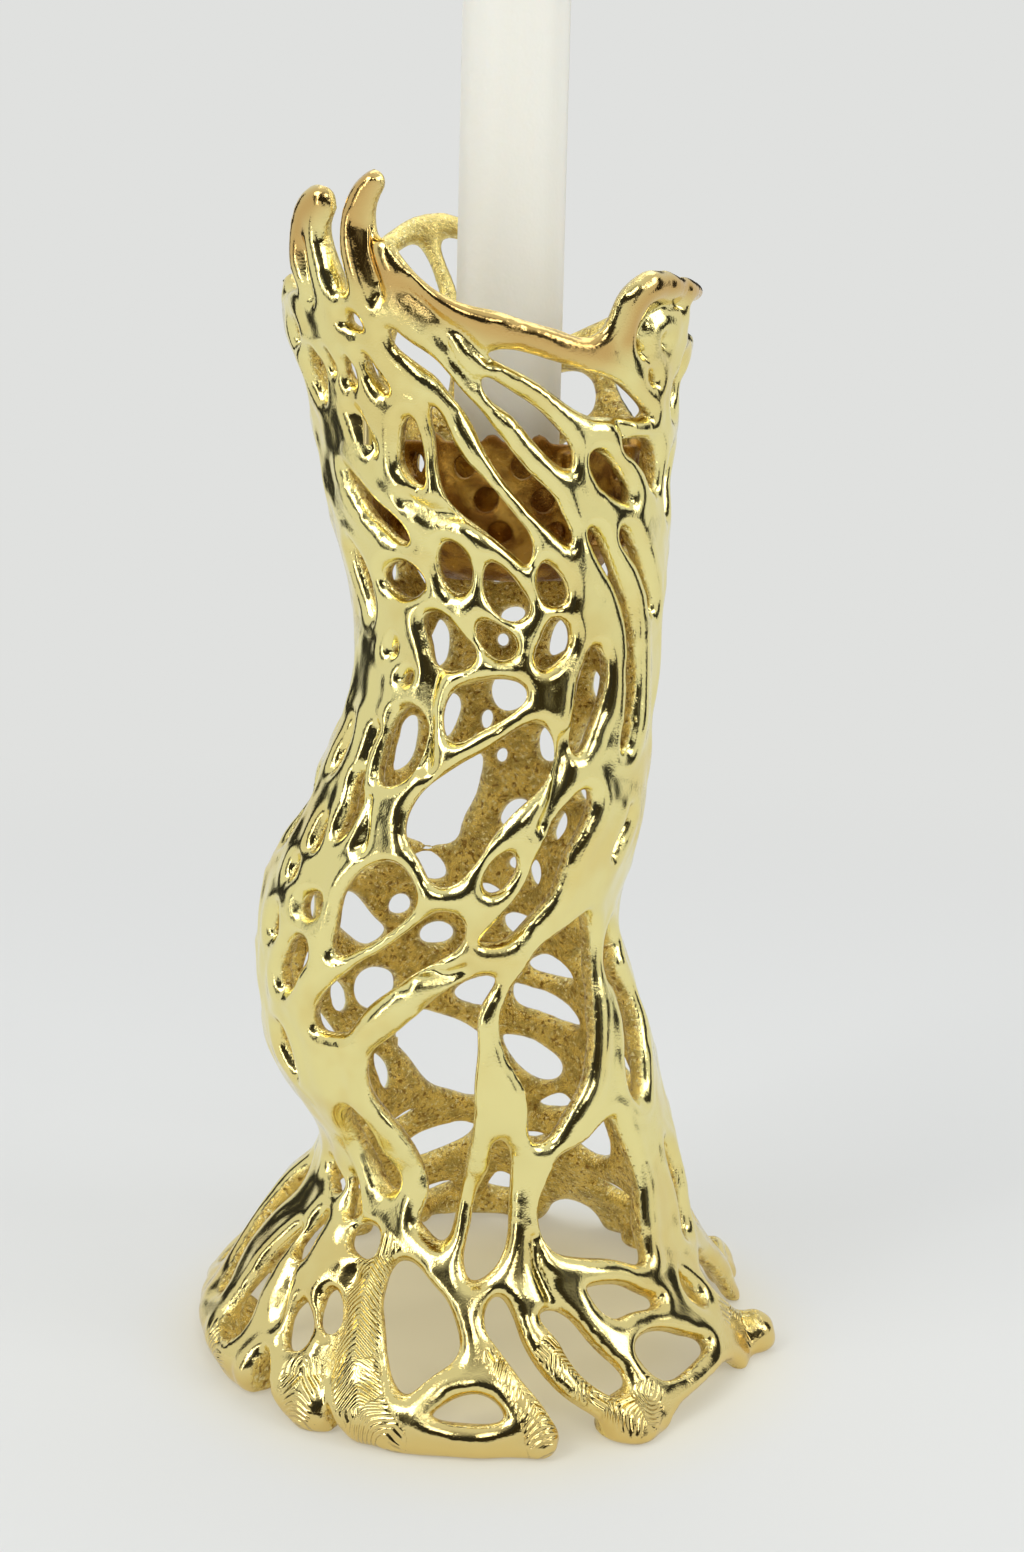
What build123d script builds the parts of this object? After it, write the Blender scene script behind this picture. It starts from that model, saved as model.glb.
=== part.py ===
from build123d import *
import math
import os

# Spiral candle holder: a cast lattice column that sways as it climbs, on a flared foot of toes, with a
# crown of curled finger tips. A perforated cup inside it carries a tube socket and one straight candle.
# Millimetres, +Z up. The origin is on the surface it stands on, under the middle of the foot. A turn is an
# angle about the upright, in degrees: 0 is the front (-Y), 90 the right (+X), 180 the back.

# Driving dimensions
holder_height = 244.0
foot_radius = 62.0
wall = 4.6
candle_radius = 10.8
candle_right = 0.3
candle_back = 1.0
candle_length = 250.0
candle_taper = 0.5
candle_shoulder = 5.0
wick_radius = 0.8
wick_length = 9.0
wick_depth = 6.0
wick_play = 0.05
socket_play = 0.4
socket_wall = 1.6
socket_depth = 20.0
socket_floor = 2.0
cup_radius = 27.0
cup_wall = 2.2
cup_depth = 27.0
cup_floor_radius = 17.0
cup_corner = 9.0
cup_hole_radius = 2.3
cup_rim_lump = 1.7
lug_width = 6.0
lug_height = 7.0
pin_radius = 1.0
pin_length = 7.0
pin_play = 0.05
toe_radius = 6.4
toe_bar_radius = 2.6
finger_radius = 3.0
overrun = 3.0

# The sway of the body: height, radius, shift to the right and shift to the back of its middle.
# The height is a share of the holder's height, and the others are shares of the foot's radius.
body_shares = [
    (0.00, 0.962, 0.008, 0.03), (0.04, 0.920, -0.032, 0.03), (0.08, 0.815, -0.040, 0.05),
    (0.12, 0.718, -0.008, 0.06), (0.16, 0.642, 0.040, 0.06), (0.19, 0.623, 0.023, 0.06),
    (0.225, 0.645, -0.042, 0.055), (0.26, 0.666, -0.097, 0.05), (0.30, 0.658, -0.134, 0.03),
    (0.35, 0.626, -0.177, 0.00), (0.39, 0.606, -0.185, -0.025), (0.43, 0.597, -0.145, -0.05),
    (0.48, 0.568, -0.074, -0.065), (0.53, 0.532, -0.023, -0.065), (0.58, 0.510, 0.015, -0.05),
    (0.63, 0.506, 0.027, -0.025), (0.68, 0.532, 0.013, 0.00), (0.74, 0.568, -0.023, 0.015),
    (0.80, 0.597, -0.037, 0.025), (0.86, 0.650, -0.058, 0.015), (0.90, 0.685, -0.048, 0.00),
    (0.96, 0.725, -0.045, 0.00),
]

# Where the castings meet, as shares of the height
foot_joint_share = 0.205
waist_joint_share = 0.478
crown_joint_share = 0.79

# Openings through the lattice. Each outline is a list of (turn, height share) points, joined by a smooth
# curve.
foot_opening_shares = [
    # slots on the left flank, above the two left toes
    [(-61, .128), (-65, .09), (-67, .06), (-67, .036), (-60, .03), (-58, .06), (-59, .098)],
    [(-57.5, .142), (-57.5, .122), (-55.5, .103), (-51, .102), (-51.5, .12), (-55, .14)],
    [(-43.5, .0875), (-39, .076), (-37.5, .061), (-39.5, .0525), (-43.5, .0545), (-45, .064), (-45.5, .078)],
    [(-37, .1), (-33, .088), (-31.3, .077), (-32.5, .069), (-35.5, .07), (-38, .083), (-39, .096)],
    [(-43, .14), (-41, .145), (-35.5, .145), (-31.5, .133), (-31, .121), (-35, .121), (-40, .126)],
    [(-66, .18), (-59.5, .167), (-54, .157), (-56.5, .15), (-63, .155), (-68, .166)],
    [(-52.5, .177), (-48, .168), (-45.7, .156), (-43, .1475), (-46.5, .1385), (-50, .152), (-53, .168)],
    # the knee strut and the tall arches in front
    [(-35, .244), (-32.5, .222), (-33.5, .2), (-30.7, .178), (-32, .166), (-37, .159), (-42, .172),
     (-45.5, .195), (-43.5, .215), (-39.5, .236)],
    [(-22.5, .130), (-18, .126), (-12.5, .115), (-7.5, .105), (-3.5, .088), (-2.4, .075), (-4.5, .065),
     (-9.5, .054), (-13.5, .043), (-16, .051), (-18, .067), (-21, .087), (-24.5, .11)],
    [(8.8, .2315), (9.2, .218), (6, .198), (3.4, .176), (3.4, .1475), (3.9, .1325), (1.7, .119),
     (-2.4, .1125), (-6, .129), (-8, .151), (-5, .186), (1.5, .209), (5.5, .228)],
    # the front toe and the two right toes
    [(.8, .0495), (5, .043), (6.5, .03), (2, .0265), (-6, .028), (-9.2, .031), (-6.5, .0385), (-3, .0465)],
    [(5.9, .111), (9.7, .097), (11.4, .082), (14, .066), (17.2, .0515), (20.4, .0385), (24.5, .026),
     (26.5, .012), (26.5, -.03), (13.5, -.03), (14, .015), (14.4, .028), (13, .044), (10, .0585), (7, .073),
     (3.5, .086), (2.3, .0995), (3.5, .108)],
    [(15.7, .0975), (20, .0995), (24, .0915), (28, .074), (31.6, .058), (33.8, .0455), (33.2, .038),
     (30, .034), (27, .041), (23.2, .055), (20, .0755), (16.6, .0885)],
    [(28, .109), (34, .108), (40, .103), (46.6, .0915), (51, .081), (47, .078), (40.5, .082), (35, .081),
     (32, .088), (29.5, .099)],
    [(40, .067), (45, .068), (51, .0605), (57, .05), (60, .041), (55, .037), (50, .034), (44, .0325),
     (40.5, .037), (38.3, .05)],
    [(39, -.03), (39.5, .004), (43, .013), (50, .019), (59, .0195), (64, .017), (67, .008), (67.5, -.03)],
    [(61.5, .097), (64.5, .082), (67.5, .064), (66, .057), (62.5, .066), (60.5, .085)],
    [(21.5, .207), (15, .183), (12, .167), (13.8, .148), (19.2, .132), (24, .128), (30, .1235), (40, .1155),
     (49, .105), (48.7, .1285), (48, .165), (47.8, .195), (47.4, .2265), (46.2, .2365), (43.2, .2335),
     (38.4, .2275), (32, .2175), (26, .213)],
    # the gaps between the left toes
    [(-48.5, .043), (-45, .034), (-42.5, .02), (-41.5, .005), (-41.5, -.03), (-50.5, -.03), (-51, .012),
     (-50, .03)],
    [(-30.8, .0275), (-28, .02), (-26.3, .01), (-26, -.03), (-30.5, -.03), (-30, .01)],
    # the right flank, the back hook and the arches behind
    [(84, -.03), (84, .012), (79.5, .035), (74.5, .056), (73, .075), (77, .085), (85, .075), (92, .05),
     (97, .02), (97, -.03)],
    [(70.5, .19), (76, .17), (77, .13), (75, .10), (71, .105), (69.5, .14)],
    [(90, .20), (97, .17), (98, .12), (93, .09), (87, .10), (84, .14), (85, .18)],
    [(104, .10), (110, .08), (112, .05), (106, .04), (99, .055), (98, .08)],
    [(110, .19), (117, .17), (122, .13), (120, .10), (113, .11), (106, .14), (105, .175)],
    [(104, -.03), (105, .012), (112, .022), (119, .012), (120, -.03)],
    [(143, .078), (137, .079), (131, .067), (131, .055), (139, .054), (144.5, .066)],
    [(163, -.03), (163, .016), (158, .03), (152, .03), (149.5, .014), (149.5, -.03)],
    [(197, .03), (193, .042), (187.5, .046), (186.5, .036), (191.5, .025), (196, .022)],
    [(179, .032), (177, .046), (173, .065), (170.5, .052), (170, .032), (175, .026)],
    [(206, .105), (201, .12), (193, .13), (185, .125), (183.5, .11), (186, .093), (192, .08), (199, .071),
     (204, .085)],
    [(222, .13), (218, .15), (212, .155), (209.5, .147), (212, .13), (219, .122)],
    [(216, .08), (212, .07), (208, .045), (213, .03), (221, .035), (224, .055), (222, .073)],
    [(241, .13), (236, .155), (229, .15), (227, .125), (231, .10), (238, .098)],
    [(243, .075), (237, .08), (231, .065), (232, .04), (239, .034), (246, .05)],
    [(222, -.03), (222, .008), (229, .018), (236, .01), (237, -.03)],
    [(262, .19), (256, .20), (249, .18), (247, .15), (252, .125), (259, .135), (263, .16)],
    [(264, .105), (257, .11), (251, .09), (253, .05), (260, .03), (267, .05), (268, .08)],
    [(252, -.03), (252, .006), (257, .013), (262, .004), (262, -.03)],
    [(278, .15), (272, .155), (268, .13), (272, .09), (278, .05), (283, .045), (282, .09)],
]

column_opening_shares = [
    # the great arch under the main strand, and the arches to its right
    [(18.5, .364), (15, .3655), (8, .36), (2, .35), (-5, .336), (-15, .312), (-21, .30), (-24.2, .284),
     (-25.5, .257), (-22.7, .233), (-21.3, .21), (-21.3, .19), (-22, .165), (-22.5, .145), (-19, .1395),
     (-12.7, .1325), (-12, .17), (-5.2, .208), (3.7, .253), (7, .289), (9, .308), (11.7, .3325), (16.5, .35)],
    [(51, .41), (47.8, .404), (38, .3905), (32, .379), (28.8, .368), (24.8, .3575), (20.5, .3425), (18, .329),
     (16.8, .315), (17.2, .3), (19.4, .283), (20.5, .2695), (18.9, .2475), (16.7, .231), (17.4, .2225),
     (19.8, .219), (26.2, .229), (32.2, .2453), (38.6, .2615), (42, .2725), (44.7, .2855), (48.2, .3045),
     (50.4, .32), (53.2, .337), (55.5, .3575), (57, .3735), (56.5, .396)],
    [(73, .35), (78, .33), (79, .30), (73, .27), (66, .24), (62, .233), (58.5, .245), (57.5, .265),
     (59.5, .285), (62, .31), (66, .335)],
    [(71, .392), (77, .377), (79, .362), (74, .346), (67, .337), (62.5, .347), (63.5, .364), (67, .38)],
    # left flank and the long crescents
    [(-39.2, .411), (-41, .422), (-45, .4235), (-49.5, .42), (-51, .41), (-48.5, .4), (-44, .398),
     (-40.5, .402)],
    [(-60, .402), (-57.5, .392), (-59.5, .375), (-64.5, .372), (-65, .388)],
    [(-49, .384), (-43, .383), (-41.3, .375), (-43, .361), (-47, .347), (-51, .334), (-57.5, .331),
     (-58.5, .343), (-54.5, .3645)],
    [(-60, .299), (-55.5, .29), (-53.5, .272), (-56, .252), (-60, .265), (-63, .283)],
    [(-61, .447), (-58, .443), (-58, .43), (-61.5, .424), (-63, .433)],
    [(-34, .427), (-31.2, .4435), (-26.5, .453), (-19.5, .4545), (-14.5, .4475), (-10, .434), (-8.4, .42),
     (-10, .411), (-14.4, .398), (-20.4, .3855), (-25.6, .3775), (-30, .371), (-32.8, .379), (-32.3, .395),
     (-33.6, .412)],
    [(1.8, .42), (6.7, .414), (8.9, .4045), (8.1, .391), (2.3, .378), (-5.2, .3665), (-12.9, .3505),
     (-21, .3325), (-26.5, .316), (-30.3, .306), (-35, .3055), (-40.6, .308), (-40.8, .3195),
     (-37.5, .3355), (-32.3, .3495), (-25, .3675), (-17.7, .3805), (-11.7, .3935), (-7.5, .407),
     (-3.8, .4165)],
    # the kite, the ring beside it and the slots under the right strand
    [(12.2, .5695), (15.7, .566), (19.1, .5575), (21.3, .542), (21.2, .528), (18.1, .514), (11.4, .497),
     (7, .478), (5.4, .462), (3.6, .451), (2.2, .442), (-1, .4385), (-6, .441), (-8.5, .447), (-11.3, .455),
     (-16.5, .4665), (-20.5, .478), (-22.7, .49), (-22.3, .5045), (-18.6, .5175), (-13, .53), (-4, .546),
     (4.5, .561)],
    [(9, .4555), (11.9, .4665), (15, .468), (18.5, .46), (19.6, .449), (18.4, .4395), (15.7, .4315),
     (12.9, .4305), (10, .4365), (8.6, .447)],
    [(38.7, .5125), (41.5, .505), (41.8, .4945), (40, .482), (37.4, .4685), (36.1, .4445), (35, .4215),
     (31.2, .4105), (26.1, .3945), (20.7, .3885), (15.7, .389), (12.5, .3885), (14.3, .396), (17.4, .4065),
     (20.7, .4225), (22.8, .4375), (23.8, .4555), (25, .473), (26.2, .4905), (28.5, .4985), (31.4, .5065),
     (35.2, .513)],
    [(63, .493), (65.5, .478), (62, .462), (58.5, .447), (57.5, .452), (59.5, .47), (61.5, .485)],
    # back of the lower column
    [(213, .205), (211, .225), (204, .237), (195, .237), (188, .228), (181, .212), (178, .19), (180, .165),
     (187, .147), (197, .155), (205, .165), (210, .18)],
    [(172, .219), (164, .2165), (157, .208), (153.5, .196), (156, .182), (163, .171), (170, .177),
     (173.5, .196)],
    [(165, .15), (160, .163), (154, .166), (152, .158), (153.5, .147), (160, .142), (165, .143)],
    [(167, .118), (163, .122), (159.5, .118), (161, .106), (166, .10)],
    [(139, .155), (135.5, .135), (135, .112), (139, .099), (147, .097), (149.5, .103), (146, .125)],
    [(230, .195), (226, .21), (222.5, .20), (223, .18), (226, .168), (229.5, .178)],
    [(151, .305), (144, .31), (137, .30), (136.5, .285), (143, .282), (152, .283), (156, .287)],
    [(160, .272), (151, .267), (143, .26), (138.5, .248), (138.5, .238), (146, .236), (160, .243),
     (164, .25)],
    [(186, .255), (178, .27), (170, .275), (168, .262), (171, .245), (178, .243), (184, .248)],
    [(168, .37), (163, .378), (157, .365), (160, .352), (166, .355)],
    [(147, .39), (146, .404), (143, .408), (141, .398), (141, .383), (144.5, .375)],
    [(160, .335), (152, .352), (145, .345), (148, .328), (156, .32)],
    [(224, .36), (218, .372), (212, .36), (206, .335), (203.5, .322), (211, .31), (219, .325), (224.5, .345)],
    [(201.5, .355), (197, .365), (193, .357), (193.5, .342), (198.5, .338)],
    [(192, .318), (186, .335), (180, .33), (181, .312), (188, .305)],
    [(221, .27), (214, .287), (204, .268), (207, .255), (216, .245)],
    [(233, .27), (229, .282), (224, .268), (226, .25), (231, .248)],
    [(194, .40), (188, .408), (181, .395), (180, .375), (187, .375), (192, .386)],
    [(122, .39), (115, .40), (108, .38), (107, .35), (112, .33), (119, .34), (123, .365)],
    [(127, .33), (121, .325), (113, .305), (108, .275), (113, .25), (121, .26), (128, .29)],
    [(128, .235), (121, .24), (113, .228), (110, .21), (117, .2), (126, .21)],
    [(102, .34), (96, .35), (89, .33), (87, .29), (92, .265), (99, .28), (103, .31)],
    [(104, .25), (98, .25), (92, .235), (91, .21), (98, .21), (104, .23)],
    [(101, .41), (95, .415), (89, .40), (88, .37), (95, .365), (101, .385)],
    [(131, .42), (126, .44), (117, .44), (113, .42), (119, .405), (127, .405)],
    [(156.5, .393), (155, .403), (151, .406), (149.5, .398), (152.5, .389)],
    [(245, .30), (240, .32), (233, .315), (230, .295), (236, .285), (243, .285)],
    [(247, .37), (241, .385), (233, .375), (232, .345), (238, .335), (246, .345)],
    [(262, .33), (256, .35), (250, .335), (250, .30), (255, .28), (262, .295)],
    [(262, .40), (256, .415), (250, .405), (251, .38), (257, .37), (262, .38)],
    [(248, .26), (242, .265), (237, .25), (237, .215), (243, .20), (249, .225)],
    [(264, .265), (258, .27), (253, .25), (254, .22), (260, .215), (265, .235)],
    [(281, .33), (275, .35), (269, .345), (268, .315), (273, .29), (280, .30)],
    [(280, .39), (275, .41), (269, .40), (270, .37), (276, .365)],
    [(280, .265), (275, .275), (270, .26), (271, .235), (277, .23)],
    [(221, .42), (214, .44), (205, .435), (203, .41), (209, .39), (218, .39)],
    [(241, .44), (234, .455), (227, .44), (228, .41), (234, .40), (241, .415)],
]

waist_opening_shares = [
    # ovals, pits and windows of the narrow waist
    [(-38, .5775), (-32.5, .576), (-27.5, .5655), (-25.6, .5455), (-26.4, .529), (-29.5, .517), (-34, .5115),
     (-39, .514), (-42, .532), (-43, .553), (-41.5, .57)],
    [(-44, .627), (-43.5, .62), (-46, .611), (-49, .609), (-50.5, .613), (-48.5, .622)],
    [(-37, .604), (-35.5, .599), (-38, .59), (-41.5, .589), (-43, .595), (-40.5, .602)],
    [(-32, .649), (-27, .651), (-22, .646), (-17.8, .635), (-11.3, .62), (-12.2, .6115), (-18.5, .604),
     (-23, .6035), (-28.8, .609), (-31, .629)],
    [(-12, .644), (-8.7, .647), (-3.7, .6425), (.7, .635), (3.6, .626), (3, .617), (0, .613), (-5, .6145),
     (-9.3, .622), (-12.6, .6325)],
    [(15.2, .648), (19.3, .649), (22.8, .642), (23.3, .633), (21.8, .6215), (18.3, .6135), (15.6, .6065),
     (11.5, .6055), (9, .613), (9.3, .6225), (12, .632), (13.5, .641)],
    [(7.9, .591), (5.6, .5985), (1.2, .602), (-5, .6015), (-10, .599), (-16, .5955), (-20.2, .5875),
     (-21.6, .576), (-20.2, .562), (-17.3, .552), (-13.8, .5495), (-10, .552), (-4.2, .562), (1.6, .57),
     (6.6, .5795)],
    [(33, .6285), (36.6, .6245), (39.8, .612), (40.6, .6), (39.8, .5845), (37.6, .5675), (35.2, .5495),
     (32.5, .54), (29.5, .54), (27.2, .549), (26.3, .563), (26.4, .586), (28.1, .6065), (30, .6205)],
    [(30, .7185), (34.5, .717), (38, .7025), (42.5, .68), (48.5, .661), (52.5, .641), (56, .615),
     (57.8, .588), (57.8, .556), (55.5, .537), (51.8, .538), (50.2, .556), (50.1, .58), (49.6, .607),
     (47.5, .637), (42.5, .6625), (37, .682), (33, .694), (29.8, .708)],
    [(44, .719), (49.5, .7165), (55, .6985), (61.5, .675), (66.5, .6445), (62, .6455), (58.7, .6635),
     (53.3, .6815), (47.5, .698), (43.5, .71)],
    # left flank slots beside the kite
    [(-50.5, .5265), (-46, .514), (-42.5, .499), (-41.7, .4845), (-43.5, .4715), (-46, .463), (-47.7, .468),
     (-49.3, .489), (-51, .506), (-52, .52)],
    [(-63, .567), (-61.5, .55), (-62, .53), (-66, .512), (-69, .52), (-67, .54), (-65, .558)],
    [(-56, .49), (-54, .475), (-52.8, .457), (-55.5, .452), (-58, .47)],
    # the column behind the cup
    [(-57, .768), (-52, .753), (-46, .74), (-39, .727), (-33.5, .713), (-31.8, .702), (-36, .697),
     (-42, .704), (-47.5, .717), (-52.5, .733), (-56.5, .752)],
    [(-65, .702), (-58, .684), (-56.5, .655), (-59, .632), (-64, .652), (-67, .68)],
    [(-29, .6715), (-33, .683), (-39.5, .687), (-46, .682), (-50, .671), (-46, .66), (-39.5, .655),
     (-33, .66)],
    [(-18.5, .7055), (-13, .7), (-11, .685), (-12.5, .668), (-16, .66), (-21, .666), (-23.5, .68),
     (-22.5, .697)],
    [(-4, .691), (1.5, .68), (5.3, .667), (8.3, .654), (6.5, .646), (2.7, .642), (-3, .645), (-7.5, .657),
     (-8.5, .674)],
    [(13.4, .6925), (18.2, .684), (21.6, .672), (22.2, .659), (20, .654), (14, .656), (10.8, .667),
     (10.7, .681)],
    [(-17.9, .81), (-15, .8), (-11.2, .776), (-6, .76), (-.2, .7435), (5.8, .7235), (9.3, .71), (10, .7),
     (8.7, .6905), (7.2, .681), (5, .687), (1.2, .697), (-4.9, .7095), (-10, .7185), (-15.1, .7325),
     (-17.5, .748), (-18, .7655), (-18.3, .7875)],
    [(31, .776), (36, .776), (41, .767), (46.4, .7545), (50.3, .7395), (49.5, .732), (45.3, .735),
     (40, .7415), (35, .75), (31.5, .7605)],
    [(42.3, .785), (50, .787), (59, .7855), (64.5, .7765), (66.5, .761), (65.5, .742), (60, .747),
     (55.8, .758), (49.3, .77), (44, .778)],
    # back of the waist
    [(179, .412), (186, .409), (195.5, .417), (202, .43), (204.5, .45), (203, .475), (198, .497), (190, .506),
     (181, .504), (178.5, .481), (178, .465), (178.3, .448), (178.6, .43)],
    [(196.5, .513), (200, .5145), (204, .53), (205.5, .548), (202, .561), (196.5, .556), (194, .54),
     (194.8, .525)],
    [(181, .574), (180, .546), (176, .54), (171, .542), (166.5, .552), (165.5, .567), (170, .577),
     (177, .58)],
    [(185, .533), (183.8, .545), (181.5, .5455), (179.7, .535), (180.5, .522), (183.2, .519)],
    [(175.2, .50), (174, .509), (171, .511), (169.3, .502), (170.5, .492), (173.2, .489)],
    [(159.5, .523), (157, .531), (152, .531), (147.5, .519), (146.5, .505), (151, .496), (156, .498),
     (158.5, .508)],
    [(164.5, .442), (163.5, .453), (160, .46), (155.5, .459), (152, .45), (155, .438), (160, .43),
     (164, .43)],
    [(142, .43), (140.5, .446), (137.5, .455), (134.5, .446), (135.5, .43), (138.5, .42)],
    [(139, .53), (131, .543), (124, .52), (124, .48), (129, .463), (137, .475), (140, .50)],
    [(118, .50), (111, .53), (104, .51), (102, .47), (106, .44), (113, .45), (118, .475)],
    [(96, .50), (90, .52), (83, .50), (80, .465), (84, .44), (91, .45), (96, .475)],
    [(221, .53), (219, .542), (213.5, .54), (210, .525), (208.5, .506), (209.7, .488), (215, .485),
     (218.5, .498), (220.6, .515)],
    [(248, .51), (241, .53), (234, .515), (233, .49), (239, .475), (246, .485)],
    [(262, .57), (255, .58), (248, .56), (248, .54), (255, .53), (262, .545)],
    [(265, .50), (259, .515), (253, .50), (254, .46), (260, .44), (266, .465)],
    [(284, .49), (277, .51), (271, .50), (271, .46), (277, .44), (284, .455)],
    [(221, .598), (216, .611), (211.5, .626), (206, .614), (204.5, .597), (206, .582), (211, .579),
     (217.5, .587)],
    [(184, .623), (181, .632), (173, .633), (171.5, .627), (176, .619), (181, .618)],
    [(184.5, .608), (181, .611), (178, .603), (180, .596), (183.5, .598)],
    [(162, .597), (160.5, .614), (156.5, .627), (151, .625), (148, .612), (150, .602), (155.5, .593),
     (160, .588)],
    [(139.5, .572), (137, .585), (132, .577), (129.5, .562), (131.5, .553), (136, .557)],
    [(140.5, .62), (134, .63), (128, .612), (129, .598), (135, .60), (139.5, .607)],
    [(118, .60), (111, .62), (104, .59), (104, .55), (111, .545), (118, .57)],
    [(97, .59), (90, .61), (82, .585), (80, .545), (86, .53), (94, .55)],
    [(237, .62), (231, .635), (226, .62), (226, .597), (230, .58), (235.5, .595)],
    [(256, .625), (250, .64), (243, .625), (243, .60), (249, .59), (256, .60)],
    [(279, .60), (273, .61), (268, .585), (270, .55), (277, .54), (282, .565)],
    [(222, .70), (216, .71), (212.5, .69), (213, .66), (217, .645), (222, .665)],
    [(208, .681), (205, .69), (201.5, .682), (202.5, .67), (206.5, .668)],
    [(190, .664), (187.5, .672), (182.5, .672), (178.5, .661), (182, .652), (188, .653)],
    [(197, .70), (192, .71), (187.5, .698), (190, .685), (195.5, .686)],
    [(171, .70), (165.5, .71), (160, .697), (163, .684), (169, .686)],
    [(148, .70), (141, .71), (134, .685), (134, .655), (141, .645), (148, .665)],
    [(124, .68), (117, .70), (110, .67), (109, .64), (116, .63), (123, .645)],
    [(99, .66), (92, .70), (85, .68), (80, .64), (84, .615), (92, .625)],
    [(248, .70), (241, .715), (233, .69), (231, .66), (238, .655), (246, .67)],
    [(271, .69), (265, .71), (258, .69), (258, .655), (264, .645), (271, .665)],
    [(234, .77), (227, .785), (218, .76), (217, .73), (224, .72), (232, .74)],
    [(209, .77), (202, .785), (193, .76), (191, .73), (198, .715), (207, .735)],
    [(184, .77), (176, .785), (168, .765), (166, .73), (173, .72), (182, .735)],
    [(158, .77), (150, .785), (143, .76), (141, .73), (148, .72), (156, .735)],
    [(133, .76), (126, .785), (118, .755), (115, .72), (121, .705), (130, .725)],
    [(107, .76), (99, .785), (92, .755), (89, .72), (95, .705), (104, .725)],
    [(82, .77), (77, .78), (73, .76), (73, .73), (77, .72), (82, .745)],
    [(259, .77), (252, .785), (244, .76), (242, .735), (249, .725), (257, .74)],
    [(281, .765), (276, .78), (269, .76), (267, .73), (273, .72), (280, .735)],
]

crown_opening_shares = [
    # the long diagonal slots in front
    [(-27, .871), (-19.6, .851), (-13.8, .838), (-9.8, .824), (-2.8, .801), (1.9, .7845), (6.3, .771),
     (10, .7595), (13.5, .7505), (17.6, .741), (20.2, .7285), (22.7, .715), (24, .703), (22.2, .6985),
     (19.8, .7025), (14.4, .7165), (8.5, .7315), (3.9, .7445), (-1, .7625), (-4.7, .779), (-8.5, .8),
     (-13, .816), (-15.3, .8255), (-19.2, .832), (-24.2, .843), (-27, .857)],
    [(-2, .832), (7, .816), (14, .804), (21, .788), (25.5, .768), (25, .757), (20, .761), (12, .779),
     (4, .802), (-2.5, .822)],
    [(.6, .846), (10, .846), (20, .839), (30, .833), (40, .826), (49, .813), (58, .801), (48, .798),
     (36, .798), (28, .8005), (20, .812), (10, .829)],
    [(-27.5, .798), (-25, .8), (-23, .79), (-22, .774), (-22, .753), (-22.5, .741), (-25, .742),
     (-29.5, .753), (-32, .762), (-30.5, .775)],
    # the knotted left side
    [(-47, .872), (-41, .875), (-36.5, .869), (-35, .858), (-38, .857), (-43, .863), (-47.5, .865)],
    [(-44.7, .845), (-42, .833), (-42.5, .82), (-45.5, .814), (-48, .824), (-47, .838)],
    [(-52.5, .848), (-50, .84), (-50.7, .827), (-53.5, .825), (-55, .837)],
    [(-38.5, .853), (-35.7, .84), (-33.3, .825), (-30.5, .813), (-31.5, .81), (-35.5, .816), (-38, .832)],
    [(-61, .85), (-57.5, .84), (-58, .82), (-62, .805), (-66, .815), (-66, .84)],
    [(-72, .86), (-67, .87), (-64, .865), (-68, .853), (-73, .85)],
    # the right hook
    [(43.3, .867), (48.5, .858), (52.8, .842), (58.5, .8255), (56, .824), (52, .834), (47.3, .8465),
     (43, .86)],
    [(55, .878), (58.5, .865), (63, .85), (61, .846), (57, .857), (54, .871)],
    # behind
    [(82, .84), (76, .855), (70, .84), (70, .81), (75, .80), (81, .815)],
    [(104, .845), (97, .855), (88, .84), (88, .815), (95, .80), (103, .815)],
    [(133, .85), (124, .865), (114, .85), (112, .82), (119, .80), (129, .815)],
    [(160, .835), (151, .845), (142, .83), (142, .805), (150, .80), (159, .81)],
    [(186, .84), (178, .85), (170, .83), (169, .81), (177, .80), (186, .81)],
    [(214, .86), (206, .885), (197, .87), (195, .83), (202, .805), (212, .82)],
    [(238, .865), (230, .89), (222, .875), (221, .835), (228, .81), (237, .83)],
    [(262, .86), (255, .875), (247, .86), (245, .83), (252, .805), (260, .82)],
    [(284, .84), (277, .855), (270, .84), (269, .81), (276, .80), (283, .815)],
]

# The upper edge of the crown, in runs round the rim. All of the column above a run is cut away.
skyline_shares = [
    [(-27, .95), (-25.5, .93), (-23, .911), (-17, .894), (-9.7, .88), (0, .873), (10, .866), (19.5, .8595),
     (29, .856), (33.2, .866), (34.5, .886), (38.5, .9), (46, .912), (50, .94)],
    [(45, .94), (46.5, .91), (54, .896), (62, .882), (72, .87), (84, .868), (90, .872)],
    [(88, .871), (99, .87), (112, .878), (124, .888), (136, .893)],
    [(134, .893), (142, .889), (150, .878), (158, .868), (170, .862), (182, .876)],
    [(180, .874), (192, .892), (204, .908), (216, .916), (230, .911)],
    [(228, .912), (238, .908), (248, .898), (260, .886), (274, .882)],
    [(272, .882), (281, .882), (287, .892), (298, .892), (306, .884), (319, .886), (324, .9), (326, .94)],
]
crown_top_share = 0.925

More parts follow.
